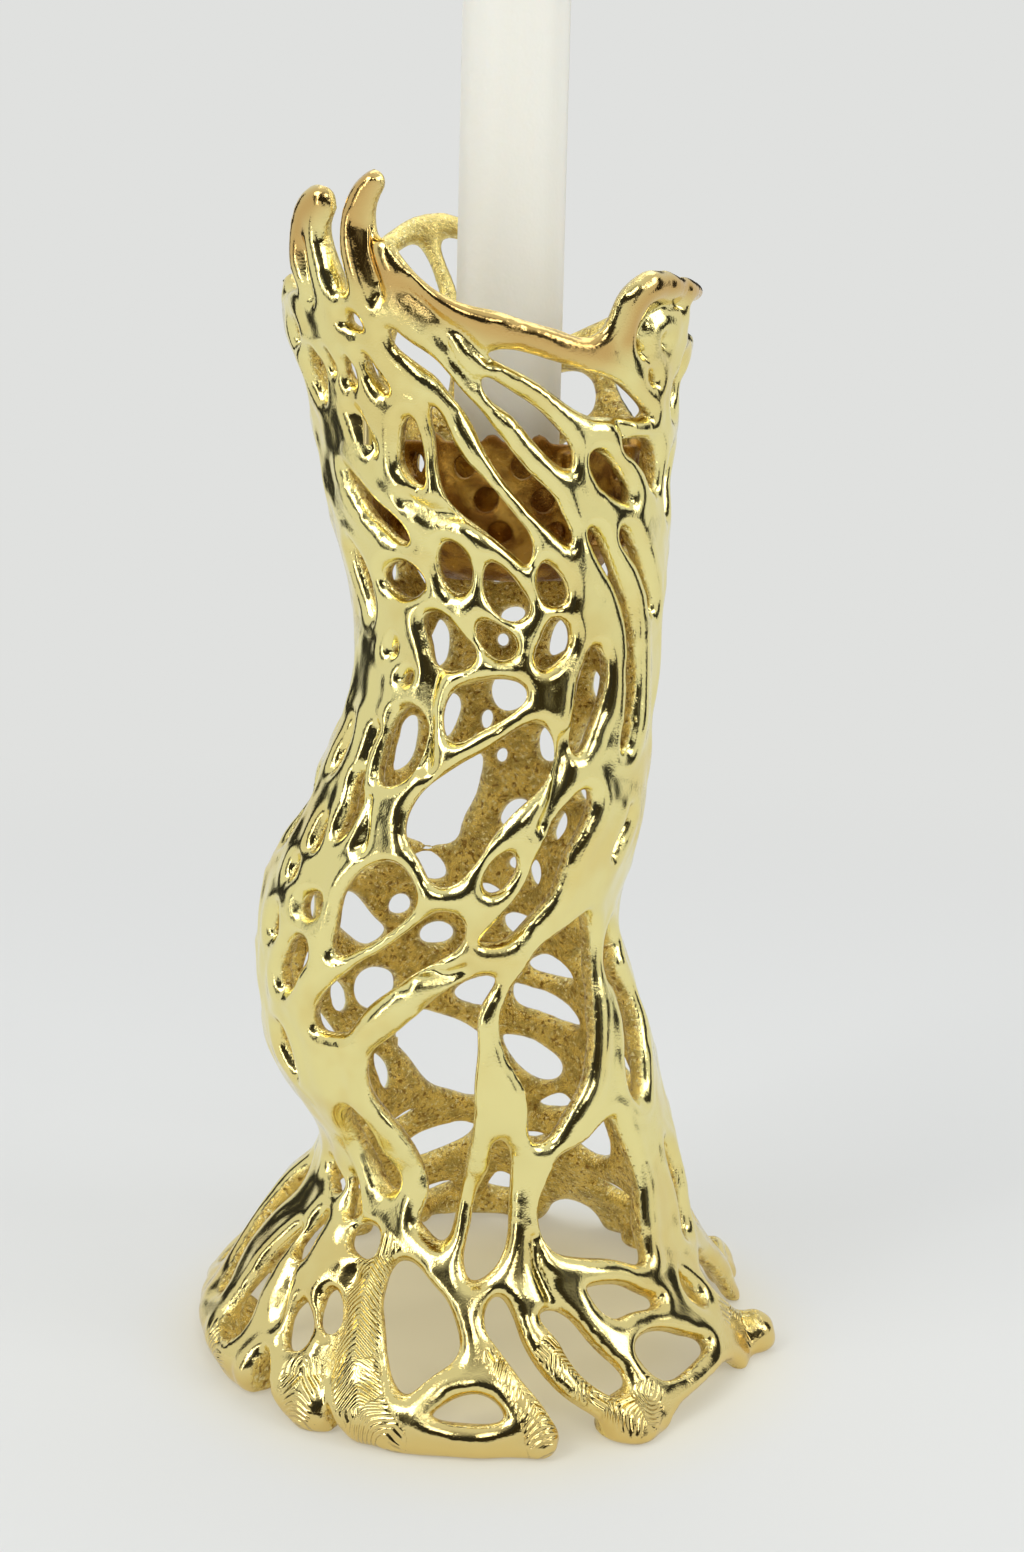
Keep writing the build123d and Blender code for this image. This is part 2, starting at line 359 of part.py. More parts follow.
# Curled fingers of the crown: shares of the finger's radius, then the (turn, height share) points of the
# middle.
finger_shares = [
    [(0.85, 1.10, 1.15, 1.00, 0.72),
     [(-50, .875), (-55.5, .896), (-58.2, .92), (-57.6, .937), (-53.5, .95), (-47.5, .957)]],
    [(0.90, 1.00, 0.98, 0.85, 0.62),
     [(-45, .87), (-49, .896), (-52, .918), (-52.2, .932), (-50, .943), (-46.5, .949)]],
    [(1.05, 1.18, 1.15, 1.02, 0.80),
     [(-31, .865), (-33.5, .89), (-35.6, .91), (-36.2, .933), (-34.4, .953), (-30.5, .965)]],
    [(0.85, 0.90, 0.92, 0.90, 0.70),
     [(42.5, .84), (40.5, .862), (40.2, .882), (43.6, .894), (50, .901), (57, .903)]],
    [(0.73, 0.75, 0.75, 0.73, 0.65),
     [(57, .846), (52.8, .866), (52.8, .88), (58, .894), (67, .902), (77, .902)]],
    [(0.73, 0.73, 0.73, 0.70, 0.63),
     [(72, .835), (65.5, .855), (62, .868), (63, .877), (66, .881), (70.5, .880)]],
    [(0.60, 0.75, 0.85, 0.75, 0.60), [(-75, .875), (-77.5, .888), (-80, .898), (-82, .903)]],
    # the high arch behind and its prop
    [(0.80, 0.82, 0.82, 0.80, 0.75),
     [(229, .897), (222, .93), (213, .95), (203, .964), (193, .97), (183, .957),
                                      (174, .92), (166, .862)]],
    [(0.75, 0.66, 0.64, 0.66, 0.75), [(191, .874), (193.5, .90), (197, .93), (200.5, .957)]],
]

# Rounded toes: turn, distance from the middle as a share of the foot's radius, size as a share of the toe's
# radius, and the height of its middle as a share of its own size
toe_shares = [
    (-58, 0.885, 1.00, 0.20), (-36, 0.900, 0.88, 0.20), (-17, 0.915, 0.62, 0.60), (11, 0.930, 0.62, 0.80),
    (31, 0.887, 1.03, 0.20), (79, 0.945, 0.78, 0.60), (110, 0.930, 0.60, 0.75), (137, 0.890, 0.86, 0.20),
    (170, 0.890, 0.70, 0.30), (200, 0.890, 0.75, 0.30), (217, 0.890, 0.85, 0.20), (245, 0.890, 0.90, 0.20),
    (279, 0.880, 1.00, 0.20),
]

# The bar between the front toes, and the curl on the right back toe: turn, distance share, height share
front_bar_shares = [
    (-23, 0.905, 0.012), (-14, 0.900, 0.012), (-4, 0.902, 0.011), (5, 0.915, 0.012), (11, 0.93, 0.013)
]
toe_curl_shares = [(110, 0.955, 0.016), (114, 0.95, 0.03), (112, 0.92, 0.037), (108, 0.90, 0.031)]
toe_curl_radius = 1.7

# A tip's ball against the end of its bar
tip_swell_share = 1.09

# Turns at which pins join one casting to the next, each in the middle of a broad strut
foot_pin_turns = [-27.5, 12.5, 58, 140, 217.5, 277]
waist_pin_turns = [-32, 21.2, 49, 121, 163, 227, 250, 293]
crown_pin_turns = [-44, 68, 110, 163.5, 214, 264]

# Candle cup: its height on the column, the turns of its lugs and rim lumps, and rows of holes
cup_rim_share = 0.78
cup_corner_rise = 9.0
lug_turns = [28.5, 137, 238]
rim_lump_turns = [-32, -6, 14, 47, 85, 121, 160, 203, 247, 290]
cup_hole_count = 15
cup_hole_shares = [(7, 0.83), (-8, 0.60), (-2, 0.37)]

# How the surface is sampled and how far the cutters reach
slope_step_share = 0.004
turn_step = 1.0
through_walls = 1.6
slab_reach = foot_radius * 2


def body_at(share):
    """Radius, shift right and shift back of the body at a height share, smoothly between the rows."""
    rows = body_shares
    share = min(max(share, rows[0][0]), rows[-1][0])
    n = 0
    while n < len(rows) - 2 and share > rows[n + 1][0]:
        n += 1
    here, after = rows[n], rows[n + 1]
    before = rows[max(n - 1, 0)]
    beyond = rows[min(n + 2, len(rows) - 1)]
    span = after[0] - here[0]
    u = (share - here[0]) / span
    values = []
    for k in (1, 2, 3):
        start_slope = (after[k] - before[k]) / (after[0] - before[0]) * span
        end_slope = (beyond[k] - here[k]) / (beyond[0] - here[0]) * span
        value = (
            (2 * u ** 3 - 3 * u ** 2 + 1) * here[k]
            + (u ** 3 - 2 * u ** 2 + u) * start_slope
            + (3 * u ** 2 - 2 * u ** 3) * after[k]
            + (u ** 3 - u ** 2) * end_slope
        )
        values.append(value * foot_radius)
    return values


def on_body(turn, share, inset=0.0):
    """The point of the outer surface at a turn and height share, or a little inside it."""
    radius, right, back = body_at(share)
    angle = math.radians(turn)
    reach = radius - inset
    return Vector(right + reach * math.sin(angle), back - reach * math.cos(angle), share * holder_height)


def outward(turn, share):
    """The direction square to the outer surface."""
    across = on_body(turn + turn_step, share) - on_body(turn - turn_step, share)
    up = on_body(turn, share + slope_step_share) - on_body(turn, share - slope_step_share)
    return across.cross(up).normalized()


def inner_radius(share):
    """Radius of the hollow, so that the wall is even square to the surface."""
    low, high = share - slope_step_share, share + slope_step_share
    slope = (body_at(high)[0] - body_at(low)[0]) / ((high - low) * holder_height)
    return body_at(share)[0] - wall * math.sqrt(1 + slope ** 2)


def ring(share, radius, height):
    """One level circle round the swaying middle."""
    middle = body_at(share)
    return Wire.make_circle(radius, Plane(origin=(middle[1], middle[2], height)))


def body_solid():
    """The full outer form, from the floor to the crown."""
    shares = [row[0] for row in body_shares if row[0] < crown_top_share] + [crown_top_share]
    rings = [ring(share, body_at(share)[0], share * holder_height) for share in shares]
    return Solid.make_loft(rings)


def hollow_solid():
    """The hollow inside the wall, open at both ends."""
    shares = [row[0] for row in body_shares if row[0] < crown_top_share] + [crown_top_share]
    rings = [ring(share, inner_radius(share), share * holder_height) for share in shares]
    below = ring(0, inner_radius(0), -overrun)
    above = ring(crown_top_share, inner_radius(crown_top_share), crown_top_share * holder_height + overrun)
    return Solid.make_loft([below] + rings + [above])


def slab(low_share, high_share):
    """A block that holds one level slice of the holder."""
    low = low_share * holder_height
    high = high_share * holder_height
    block = Box(slab_reach, slab_reach, high - low, align=(Align.CENTER, Align.CENTER, Align.MIN))
    return Pos(0, 0, low) * block


def flattened(outline):
    """An outline laid on a plane square to the surface at its middle, and how deep a cut it needs."""
    turns = [turn for turn, share in outline]
    shares = [share for turn, share in outline]
    turn = (min(turns) + max(turns)) / 2
    share = min(max((min(shares) + max(shares)) / 2, slope_step_share), crown_top_share)
    out = outward(turn, share)
    middle = on_body(turn, share)
    places = [on_body(turn, share) for turn, share in outline]
    heights = [(place - middle).dot(out) for place in places]
    start = max(heights) + overrun
    depth = start - min(heights) + wall * through_walls
    points = [place + out * (start - height) for place, height in zip(places, heights)]
    return points, out, depth


def opening_cutter(outline):
    """A smooth plug that cuts one opening through the wall."""
    points, out, depth = flattened(outline)
    face = Face(Wire([Edge.make_spline(points, periodic=True)]))
    return Solid.extrude(face, out * -depth)


def skyline_cutter(outline):
    """A plug that cuts away the column above one run of the crown's edge."""
    points, out, depth = flattened(outline)
    rise = out.cross(Vector(0, 0, 1)).cross(out).normalized() * (holder_height * (1 - crown_top_share))
    first, last = points[0], points[-1]
    edges = [
        Edge.make_spline(points),
        Edge.make_line(last, last + rise),
        Edge.make_line(last + rise, first + rise),
        Edge.make_line(first + rise, first),
    ]
    return Solid.extrude(Face(Wire(edges)), out * -depth)


def within(outline, low_share, high_share):
    """Whether an opening reaches into a slice of the column."""
    shares = [share for turn, share in outline]
    return max(shares) > low_share and min(shares) < high_share


def round_bar(points, radii):
    """A bar that follows a smooth path, with a radius that changes and a ball on its far end."""
    path = Edge.make_spline(points)
    sections = []
    for n, radius in enumerate(radii):
        along = n / (len(radii) - 1)
        sections.append(Wire.make_circle(radius, Plane(origin=path @ along, z_dir=path % along)))
    bar = Solid.make_loft(sections)
    return bar + Pos(*points[-1]) * Sphere(radii[-1] * tip_swell_share)


def from_middle(turn, distance_share, height):
    """A point over the floor, by its turn and its distance from the middle of the foot."""
    radius, right, back = body_at(0)
    reach = distance_share * foot_radius
    angle = math.radians(turn)
    return Vector(right + reach * math.sin(angle), back - reach * math.cos(angle), height)


def toes():
    """Rounded toes, the bar between the front ones and the curl on the right back one."""
    pieces = []
    for turn, distance, size, lift in toe_shares:
        radius = size * toe_radius
        pieces.append(Pos(*from_middle(turn, distance, lift * radius)) * Sphere(radius))
    bar_points = [
        from_middle(turn, distance, rise * holder_height)
        for turn, distance, rise in front_bar_shares
    ]
    pieces.append(round_bar(bar_points, [toe_bar_radius] * len(bar_points)))
    curl_points = [
        from_middle(turn, distance, rise * holder_height)
        for turn, distance, rise in toe_curl_shares
    ]
    pieces.append(round_bar(curl_points, [toe_curl_radius] * len(curl_points)))
    return pieces


def fingers():
    """Curled finger tips that rise from the crown, and the arch behind with its prop."""
    pieces = []
    for sizes, places in finger_shares:
        points = [on_body(turn, share, wall / 2) for turn, share in places]
        pieces.append(round_bar(points, [size * finger_radius for size in sizes]))
    return pieces


def pin_hole(turn, share, radius, length):
    """A short upright cylinder in the middle of the wall, across a joint between castings."""
    place = on_body(turn, share, wall / 2)
    return Pos(*place) * Cylinder(radius, length)


def pin_holes(turns, share):
    return [pin_hole(turn, share, pin_radius + pin_play, pin_length + pin_play * 2) for turn in turns]


def pins(turns, share):
    return Compound(children=[pin_hole(turn, share, pin_radius, pin_length) for turn in turns])


def largest(shape):
    """The main solid of a shape, without any loose crumb."""
    solids = sorted(shape.solids(), key=lambda solid: solid.volume)
    print("solids", [round(solid.volume) for solid in solids])
    return solids[-1]


def casting(shell, low_share, high_share, cutters, added, holes):
    """One lattice casting: a slice of the shell, pierced, with its own extras, drilled for pins."""
    piece = shell & slab(low_share, high_share)
    reached = [outline for outline in cutters if within(outline, low_share, high_share)]
    piece = piece - [opening_cutter(outline) for outline in reached]
    if added:
        piece = piece + added
    if holes:
        piece = piece - holes
    return piece


def bowl(radius, floor_radius, low, high, corner):
    """A round solid with a flat bottom and a curved corner."""
    rise = cup_corner_rise
    side = FilletPolyline((0, low), (floor_radius, low), (radius, low + rise), (radius, high), radius=corner)
    closing = Polyline((radius, high), (0, high), (0, low))
    return revolve(Plane.XZ * make_face(side + closing), Axis.Z)


def candle_cup(hollow):
    """The pierced cup, with a lumpy rim and lugs that reach the wall of the column."""
    rim = cup_rim_share * holder_height
    low = rim - cup_depth
    middle = Pos(candle_right, candle_back, 0)
    cup = bowl(cup_radius, cup_floor_radius, low, rim, cup_corner)
    lumps = []
    for turn in rim_lump_turns:
        angle = math.radians(turn)
        reach = cup_radius - cup_wall / 2
        lumps.append(Pos(reach * math.sin(angle), -reach * math.cos(angle), rim) * Sphere(cup_rim_lump))
    lugs = []
    for turn in lug_turns:
        lug = Box(lug_width, cup_radius, lug_height, align=(Align.CENTER, Align.MAX, Align.MAX))
        lugs.append(Rot(0, 0, turn) * Pos(0, -cup_radius + cup_wall, rim - cup_rim_lump) * lug)
    lugs = (middle * (Part() + lugs)) & hollow
    inside = bowl(
        cup_radius - cup_wall, cup_floor_radius - cup_wall / 2, low + cup_wall, rim + overrun,
        cup_corner - cup_wall
    )
    holes = []
    for first_turn, level_share in cup_hole_shares:
        for n in range(cup_hole_count):
            hole = Cylinder(
                cup_hole_radius, cup_radius + overrun, align=(Align.CENTER, Align.CENTER, Align.MIN)
            )
            turn = first_turn + n * 360 / cup_hole_count
            holes.append(Pos(0, 0, low + cup_depth * level_share) * Rot(0, 0, turn) * Rot(90, 0, 0) * hole)
    cup = middle * (cup + lumps)
    cup = cup + lugs
    return cup - [middle * inside] - [middle * hole for hole in holes]


def candle_socket():
    """The tube on the cup's floor that holds the candle."""
    low = cup_rim_share * holder_height - cup_depth + cup_wall
    inner = candle_radius + socket_play
    align = (Align.CENTER, Align.CENTER, Align.MIN)
    tube = Cylinder(inner + socket_wall, socket_floor + socket_depth, align=align)
    bore = Pos(0, 0, socket_floor) * Cylinder(inner, socket_depth + overrun, align=align)
    return Pos(candle_right, candle_back, low) * (tube - bore)


def candle_foot():
    return cup_rim_share * holder_height - cup_depth + cup_wall + socket_floor


def candle():
    """A straight candle with a slight taper and a rounded shoulder, bored for its wick."""
    align = (Align.CENTER, Align.CENTER, Align.MIN)
    body = Cone(candle_radius, candle_radius - candle_taper, candle_length, align=align)
    body = fillet(body.edges().sort_by(Axis.Z)[-1], candle_shoulder)
    bore = Cylinder(wick_radius + wick_play, wick_depth + overrun, align=align)
    body = body - Pos(0, 0, candle_length - wick_depth) * bore
    return Pos(candle_right, candle_back, candle_foot()) * body


def wick():
    align = (Align.CENTER, Align.CENTER, Align.MIN)
    low = candle_foot() + candle_length - wick_depth
    return Pos(candle_right, candle_back, low) * Cylinder(wick_radius, wick_depth + wick_length, align=align)


def save(name, shape):
    shape.label = name
    export_step(shape, "parts/" + name + ".step")
    print(name, len(shape.solids()), "solids", round(shape.volume), shape.bounding_box())


def main():
    os.makedirs("parts", exist_ok=True)
    hollow = hollow_solid()
    shell = body_solid() - hollow
    outlines = foot_opening_shares + column_opening_shares + waist_opening_shares + crown_opening_shares
    foot_holes = pin_holes(foot_pin_turns, foot_joint_share)
    waist_holes = pin_holes(waist_pin_turns, waist_joint_share)
    crown_holes = pin_holes(crown_pin_turns, crown_joint_share)
    foot = casting(shell, 0, foot_joint_share, outlines, toes(), foot_holes)
    below = Pos(0, 0, -slab_reach / 2) * Box(slab_reach, slab_reach, slab_reach)
    save("foot_casting", largest(foot - below))
    lower = casting(shell, foot_joint_share, waist_joint_share, outlines, [], foot_holes + waist_holes)
    save("lower_column", largest(lower))
    upper = casting(shell, waist_joint_share, crown_joint_share, outlines, [], waist_holes + crown_holes)
    save("upper_column", largest(upper))
    crown = casting(shell, crown_joint_share, 1, outlines, [], crown_holes)
    crown = crown - [skyline_cutter(outline) for outline in skyline_shares]
    save("crown_casting", largest(crown + fingers()))
    save("foot_joint_pins", pins(foot_pin_turns, foot_joint_share))
    save("waist_joint_pins", pins(waist_pin_turns, waist_joint_share))
    save("crown_joint_pins", pins(crown_pin_turns, crown_joint_share))
    save("candle_cup", candle_cup(hollow))
    save("candle_socket", candle_socket())
    save("candle", candle())
    save("wick", wick())


main()
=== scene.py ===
import math

import bmesh
import bpy
import numpy as np
from mathutils import Matrix, Vector
from mathutils.kdtree import KDTree


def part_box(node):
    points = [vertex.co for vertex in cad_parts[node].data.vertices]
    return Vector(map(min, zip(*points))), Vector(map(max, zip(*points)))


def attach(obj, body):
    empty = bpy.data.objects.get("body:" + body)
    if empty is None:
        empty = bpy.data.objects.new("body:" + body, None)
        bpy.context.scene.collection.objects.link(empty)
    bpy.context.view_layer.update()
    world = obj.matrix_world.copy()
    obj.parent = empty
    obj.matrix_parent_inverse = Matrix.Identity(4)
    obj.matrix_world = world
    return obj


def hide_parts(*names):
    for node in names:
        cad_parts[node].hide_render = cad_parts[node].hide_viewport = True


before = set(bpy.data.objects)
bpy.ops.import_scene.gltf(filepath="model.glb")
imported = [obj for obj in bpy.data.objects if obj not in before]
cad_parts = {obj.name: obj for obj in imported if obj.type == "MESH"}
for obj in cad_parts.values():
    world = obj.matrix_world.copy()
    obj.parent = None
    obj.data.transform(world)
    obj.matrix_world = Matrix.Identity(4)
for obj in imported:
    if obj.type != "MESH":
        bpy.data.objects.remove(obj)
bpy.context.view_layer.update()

bl_info = {
    "name": "Lattice candle holder",
    "version": (1, 0, 0),
    "blender": (4, 5, 0),
    "location": "View3D > Sidebar > Candle Holder",
    "description": "Dresses a cast lattice candle holder, its pierced cup and its candle",
    "category": "Object",
}

MM = 0.001
CASTINGS = ("foot_casting", "lower_column", "upper_column", "crown_casting")
JOINT_PINS = ("foot_joint_pins", "waist_joint_pins", "crown_joint_pins")
HOLDER = "holder"
CANDLE = "candle"

# The body's sway: height share, then radius, shift right and shift back as shares of the foot's radius
BODY_SHARES = (
    (0.00, 0.962, 0.008, 0.03), (0.04, 0.920, -0.032, 0.03), (0.08, 0.815, -0.040, 0.05),
    (0.12, 0.718, -0.008, 0.06), (0.16, 0.642, 0.040, 0.06), (0.19, 0.623, 0.023, 0.06),
    (0.225, 0.645, -0.042, 0.055), (0.26, 0.666, -0.097, 0.05), (0.30, 0.658, -0.134, 0.03),
    (0.35, 0.626, -0.177, 0.00), (0.39, 0.606, -0.185, -0.025), (0.43, 0.597, -0.145, -0.05),
    (0.48, 0.568, -0.074, -0.065), (0.53, 0.532, -0.023, -0.065), (0.58, 0.510, 0.015, -0.05),
    (0.63, 0.506, 0.027, -0.025), (0.68, 0.532, 0.013, 0.00), (0.74, 0.568, -0.023, 0.015),
    (0.80, 0.597, -0.037, 0.025), (0.86, 0.650, -0.058, 0.015), (0.90, 0.685, -0.048, 0.00),
    (0.96, 0.725, -0.045, 0.00),
)
HOLDER_HEIGHT = 0.244
FOOT_RADIUS = 0.062
WALL = 0.0046
BODY_SAMPLES = 400
LINE_STEP = 0.0004

# Valleys between strands that run side by side: half width in millimetres, then (turn, height share)
VALLEY_SHARES = (
    (1.2, ((-33.5, 0.935), (-33, 0.92), (-31.5, 0.90), (-29.5, 0.884))),
    (1.4, ((-21.5, 0.888), (-13.5, 0.871), (-6, 0.857), (0.5, 0.838))),
    (1.2, ((-12.5, 0.857), (-9.5, 0.838), (-4.5, 0.823))),
    (1.6, ((46, 0.866), (48, 0.879), (54, 0.886), (62, 0.889))),
    (1.2, ((-54, 0.885), (-55.5, 0.905), (-56, 0.925))),
    (1.6, ((-46, 0.80), (-43, 0.785), (-41, 0.772))),
    (1.6, ((-29, 0.735), (-22, 0.728), (-14, 0.724))),
    (1.8, ((-27, 0.603), (-27.5, 0.58), (-25, 0.555), (-22, 0.53))),
    (1.2, ((-48, 0.555), (-49, 0.535), (-48, 0.515))),
    (1.2, ((-40, 0.50), (-36, 0.48), (-34, 0.462))),
    (1.4, ((24, 0.555), (25, 0.53), (24, 0.505), (22, 0.485))),
    (1.4, ((-3, 0.372), (4, 0.366), (10, 0.372))),
    (1.2, ((40, 0.80), (44, 0.79), (47, 0.775))),
    (2.4, ((-33, 0.108), (-31.5, 0.078), (-31, 0.05), (-30.5, 0.03))),
    (1.2, ((11, 0.145), (14, 0.125), (18, 0.105), (22, 0.09))),
    (1.4, ((-56, 0.12), (-51, 0.09), (-48, 0.06))),
)

# Where the gold turns rosy: half width in millimetres, then (turn, height share)
ROSY_SHARES = (
    (4.0, (
        (-31, 0.965), (-36, 0.94), (-34, 0.91), (-26, 0.897),
        (-17, 0.882), (0, 0.864), (20, 0.852), (33, 0.85),
    )),
    (3.2, ((40, 0.86), (41, 0.882), (45, 0.896), (57, 0.903), (77, 0.902))),
    (3.4, ((-46.5, 0.957), (-54, 0.945), (-58, 0.92))),
)

# Herringbone ribs: half width in millimetres, then (turn, height share) along the middle of the rib
RIDGE_SHARES = (
    (3.6, ((-30, 0.125), (-27, 0.09), (-25, 0.06), (-22, 0.03), (-18, 0.012))),
    (2.6, ((7, 0.07), (12, 0.04), (12, 0.012))),
    (2.4, ((18, 0.07), (24, 0.045), (31, 0.022))),
    (2.8, ((27, 0.035), (32, 0.014), (36, 0.03))),
    (3.2, ((-36, 0.04), (-36, 0.008))),
    (3.6, ((-64, 0.04), (-60, 0.01))),
    (2.8, ((72, 0.045), (79, 0.012))),
)

# Herringbone: distance between its ridges, their slant, and the half widths between which they fade
RIDGE_SPACING = 0.00115
RIDGE_SLANT = 0.9
RIDGE_FADE = (0.9, 1.5)

# Least outward look and most depth of an outside face, and most outward look of an opening's wall
OUTER_FACING = 0.35
OUTER_DEPTH = 0.6 * WALL
WALL_FACING = 0.2

# Rounding into strands: most waves across a web, reach of a valley, deepest cut, rounds of softening
MOST_WAVES = 3
VALLEY_REACH = 0.006
DEEPEST_CUT = 0.65 * WALL
SOFTENING = 3

# Hand-worked waviness: seed, number of waves, how much they vary, and the size of a wave on each piece
WAVE_SEED = 5
WAVE_COUNT = 14
WAVE_SPREAD = (0.6, 1.5)
CASTING_WAVE = 0.011
CUP_WAVE = 0.006

# The cup's skin: grain, rounds of rounding, metal given back and depth of the waviness
CUP_VOXEL = 0.0005
CUP_ROUNDING = 5
CUP_SWELL = 0.00005
CUP_WAVINESS = 0.00012

# Paint on the castings: the outward looks, depths or heights between which each one comes or goes
# The amber reaches onto lips beside the openings and down into deep valleys: there it is partly painted
# shade of the hollows, partly rough unpolished metal
INNER_LOOK = (-0.42, 0.0)
INNER_DEPTH = (0.0020, 0.0034)
CROWN_HEIGHT = (0.208, 0.222)
TOE_HEIGHT = (0.003, 0.013)
SKIRT_HEIGHT = (0.010, 0.055)
RIDGE_LOOK = (0.0, 0.4)

# Rough amber that the crown loses, rose of the toes and of the skirt, and where a rosy line is looked for
CROWN_LOSS = 0.5
TOE_ROSE = 0.55
SKIRT_ROSE = 0.28
ROSE_SEARCH = 0.85

# Patterns: scale, detail and roughness of the noise, then the values that give none and all of it
PATTERNS = {
    # Patches of painted shade in the pits of the rough amber
    "patches": (300.0, 4.0, 0.65, 0.34, 0.62),
    "pits": (75.0, 2.0, 0.5, 0.58, 0.68),
    # Spots of painted shade in fine pits, then bright painted glints, on the rough amber
    "pit shade spots": (850.0, 3.0, 0.6, 0.36, 0.46),
    "painted glints": (1250.0, 2.0, 0.5, 0.58, 0.66),
    "stains": (48.0, 3.0, 0.6, 0.47, 0.68),
    "combing": (130.0, 2.0, 0.5, 0.30, 0.5),
    "cup patches": (240.0, 4.0, 0.5, 0.38, 0.64),
}

# How strongly stains and clouds colour a finish, and the share of the amber left in its patches of painted
# pit shade
STAIN_STRENGTH = 0.55
CLOUD_STRENGTH = 0.3
PIT_SHADE_SHARE = 0.58

# What inner faces and grain add to the roughness, and what inner faces take from the metal
INNER_ROUGHNESS = 0.08
GRAIN_ROUGHNESS = 0.06
INNER_DULLNESS = 0.25

# The cup's own roughness, and what its grain adds
CUP_ROUGHNESS = 0.24
CUP_GRAIN_ROUGHNESS = 0.2

# Depths of the relief in the finishes
HERRINGBONE_DEPTH = 0.00018
INNER_GRAIN_DEPTH = 0.00085
PIT_DEPTH = 0.00020
PORE_DEPTH = 0.00003
DENT_DEPTH = 0.0008
CUP_GRAIN_DEPTH = 0.00035
WAX_GRAIN_DEPTH = 0.00012

# Colours that go with the ones in the panel
# Painted shade in the fine pits of the rough amber
PAINTED_PIT_SHADE = (0.38, 0.22, 0.04, 1)
# Painted glints on the rough amber
PAINTED_GLINT = (1.0, 0.90, 0.50, 1)
STAIN = (0.84, 0.66, 0.23, 1)
CUP_DARK = (0.24, 0.11, 0.02, 1)
CUP_LIGHT = (0.55, 0.33, 0.07, 1)
PIN_BRASS = (0.75, 0.62, 0.3, 1)
COTTON = (0.82, 0.79, 0.7, 1)
WAX_CLOUD = (0.84, 0.82, 0.77, 1)
CARD_BLACK = (0.012, 0.011, 0.010, 1)
# Painted warm light that the gold throws on the floor round the foot
PAINTED_GOLD_BOUNCE = (0.80, 0.73, 0.49, 1)
FILL_WHITE = (0.95, 0.97, 1.0, 1)

# The wick: strands, turns, and the shares of its width that set the twist, the strands and the ends
WICK_STRANDS = 3
WICK_TURNS = 4.0
TWIST_SHARE = 0.26
STRAND_SHARE = 0.23
END_SHARE = 0.16

# Steps in each turn of a strand's path, and in the ring round it
PATH_STEPS = 20
RING_STEPS = 12

# Edges that bend by more than this stay sharp
SHARP_BEND = math.radians(30)
WICK_BEND = math.radians(50)

# Distances under which points are merged, cuts count as touching, and a direction has no length
MERGE = 1e-6
TOUCH = 1e-7
TINY = 1e-9

# A mix of colours has its factor and its two colours at these sockets, and its result at this one
MIX_FACTOR, MIX_FIRST, MIX_SECOND = 0, 6, 7
MIX_RESULT = 2


# Node trees

class Value:
    """A node's socket that can be used in plain arithmetic."""

    def __init__(self, nodes, socket):
        self.nodes = nodes
        self.socket = socket

    def _math(self, operation, first, second):
        return self.nodes.node("ShaderNodeMath", {"operation": operation}, {0: first, 1: second})

    def __add__(self, other):
        return self._math("ADD", self, other)

    def __radd__(self, other):
        return self._math("ADD", other, self)

    def __sub__(self, other):
        return self._math("SUBTRACT", self, other)

    def __rsub__(self, other):
        return self._math("SUBTRACT", other, self)

    def __mul__(self, other):
        return self._math("MULTIPLY", self, other)

    def __rmul__(self, other):
        return self._math("MULTIPLY", other, self)

    def __rtruediv__(self, other):
        return self._math("DIVIDE", other, self)


class Nodes:
    """One node tree and the method that adds nodes to it."""

    def __init__(self, tree):
        self.tree = tree
        tree.nodes.clear()

    def node(self, kind, settings=None, inputs=None, output=0):
        """A node of one type: its settings first, then the values or links of its sockets."""
        made = self.tree.nodes.new(kind)
        for key, value in (settings or {}).items():
            setattr(made, key, value)
        for key, value in (inputs or {}).items():
            if isinstance(value, Value):
                self.tree.links.new(value.socket, made.inputs[key])
            else:
                made.inputs[key].default_value = value
        return Value(self, made.outputs[output]) if len(made.outputs) else None

    def spread(self, value, low, high):
        """A value stretched so that low gives 0 and high gives 1, smoothly."""
        return self.node(
            "ShaderNodeMapRange", {"interpolation_type": "SMOOTHSTEP"},
            {"Value": value, "From Min": low, "From Max": high},
        )


class Finish(Nodes):
    """One material and the nodes that make it."""

    def __init__(self, name):
        self.material = bpy.data.materials.new(name)
        self.material.use_nodes = True
        super().__init__(self.material.node_tree)

    def attribute(self, name):
        return self.node("ShaderNodeAttribute", {"attribute_name": name}, output="Fac")

    def place(self):
        return self.node("ShaderNodeTexCoord", output="Object")

    def noise(self, scale, detail=2.0, roughness=0.5):
        return self.node(
            "ShaderNodeTexNoise", None,
            {"Vector": self.place(), "Scale": scale, "Detail": detail, "Roughness": roughness},
        )

    def pattern(self, name):
        """One of the named noise patterns, as a mask from 0 to 1."""
        scale, detail, roughness, low, high = PATTERNS[name]
        return self.spread(self.noise(scale, detail, roughness), low, high)

    def mix(self, factor, first, second):
        inputs = {MIX_FACTOR: factor, MIX_FIRST: first, MIX_SECOND: second}
        return self.node("ShaderNodeMix", {"data_type": "RGBA"}, inputs, output=MIX_RESULT)

    def bump(self, height, distance, normal=None):
        inputs = {"Height": height, "Distance": distance, "Strength": 1.0}
        if normal is not None:
            inputs["Normal"] = normal
        return self.node("ShaderNodeBump", None, inputs)

    def surface(self, inputs):
        shader = self.node("ShaderNodeBsdfPrincipled", None, inputs)
        self.node("ShaderNodeOutputMaterial", None, {"Surface": shader})
        return self.material


# Mesh helpers

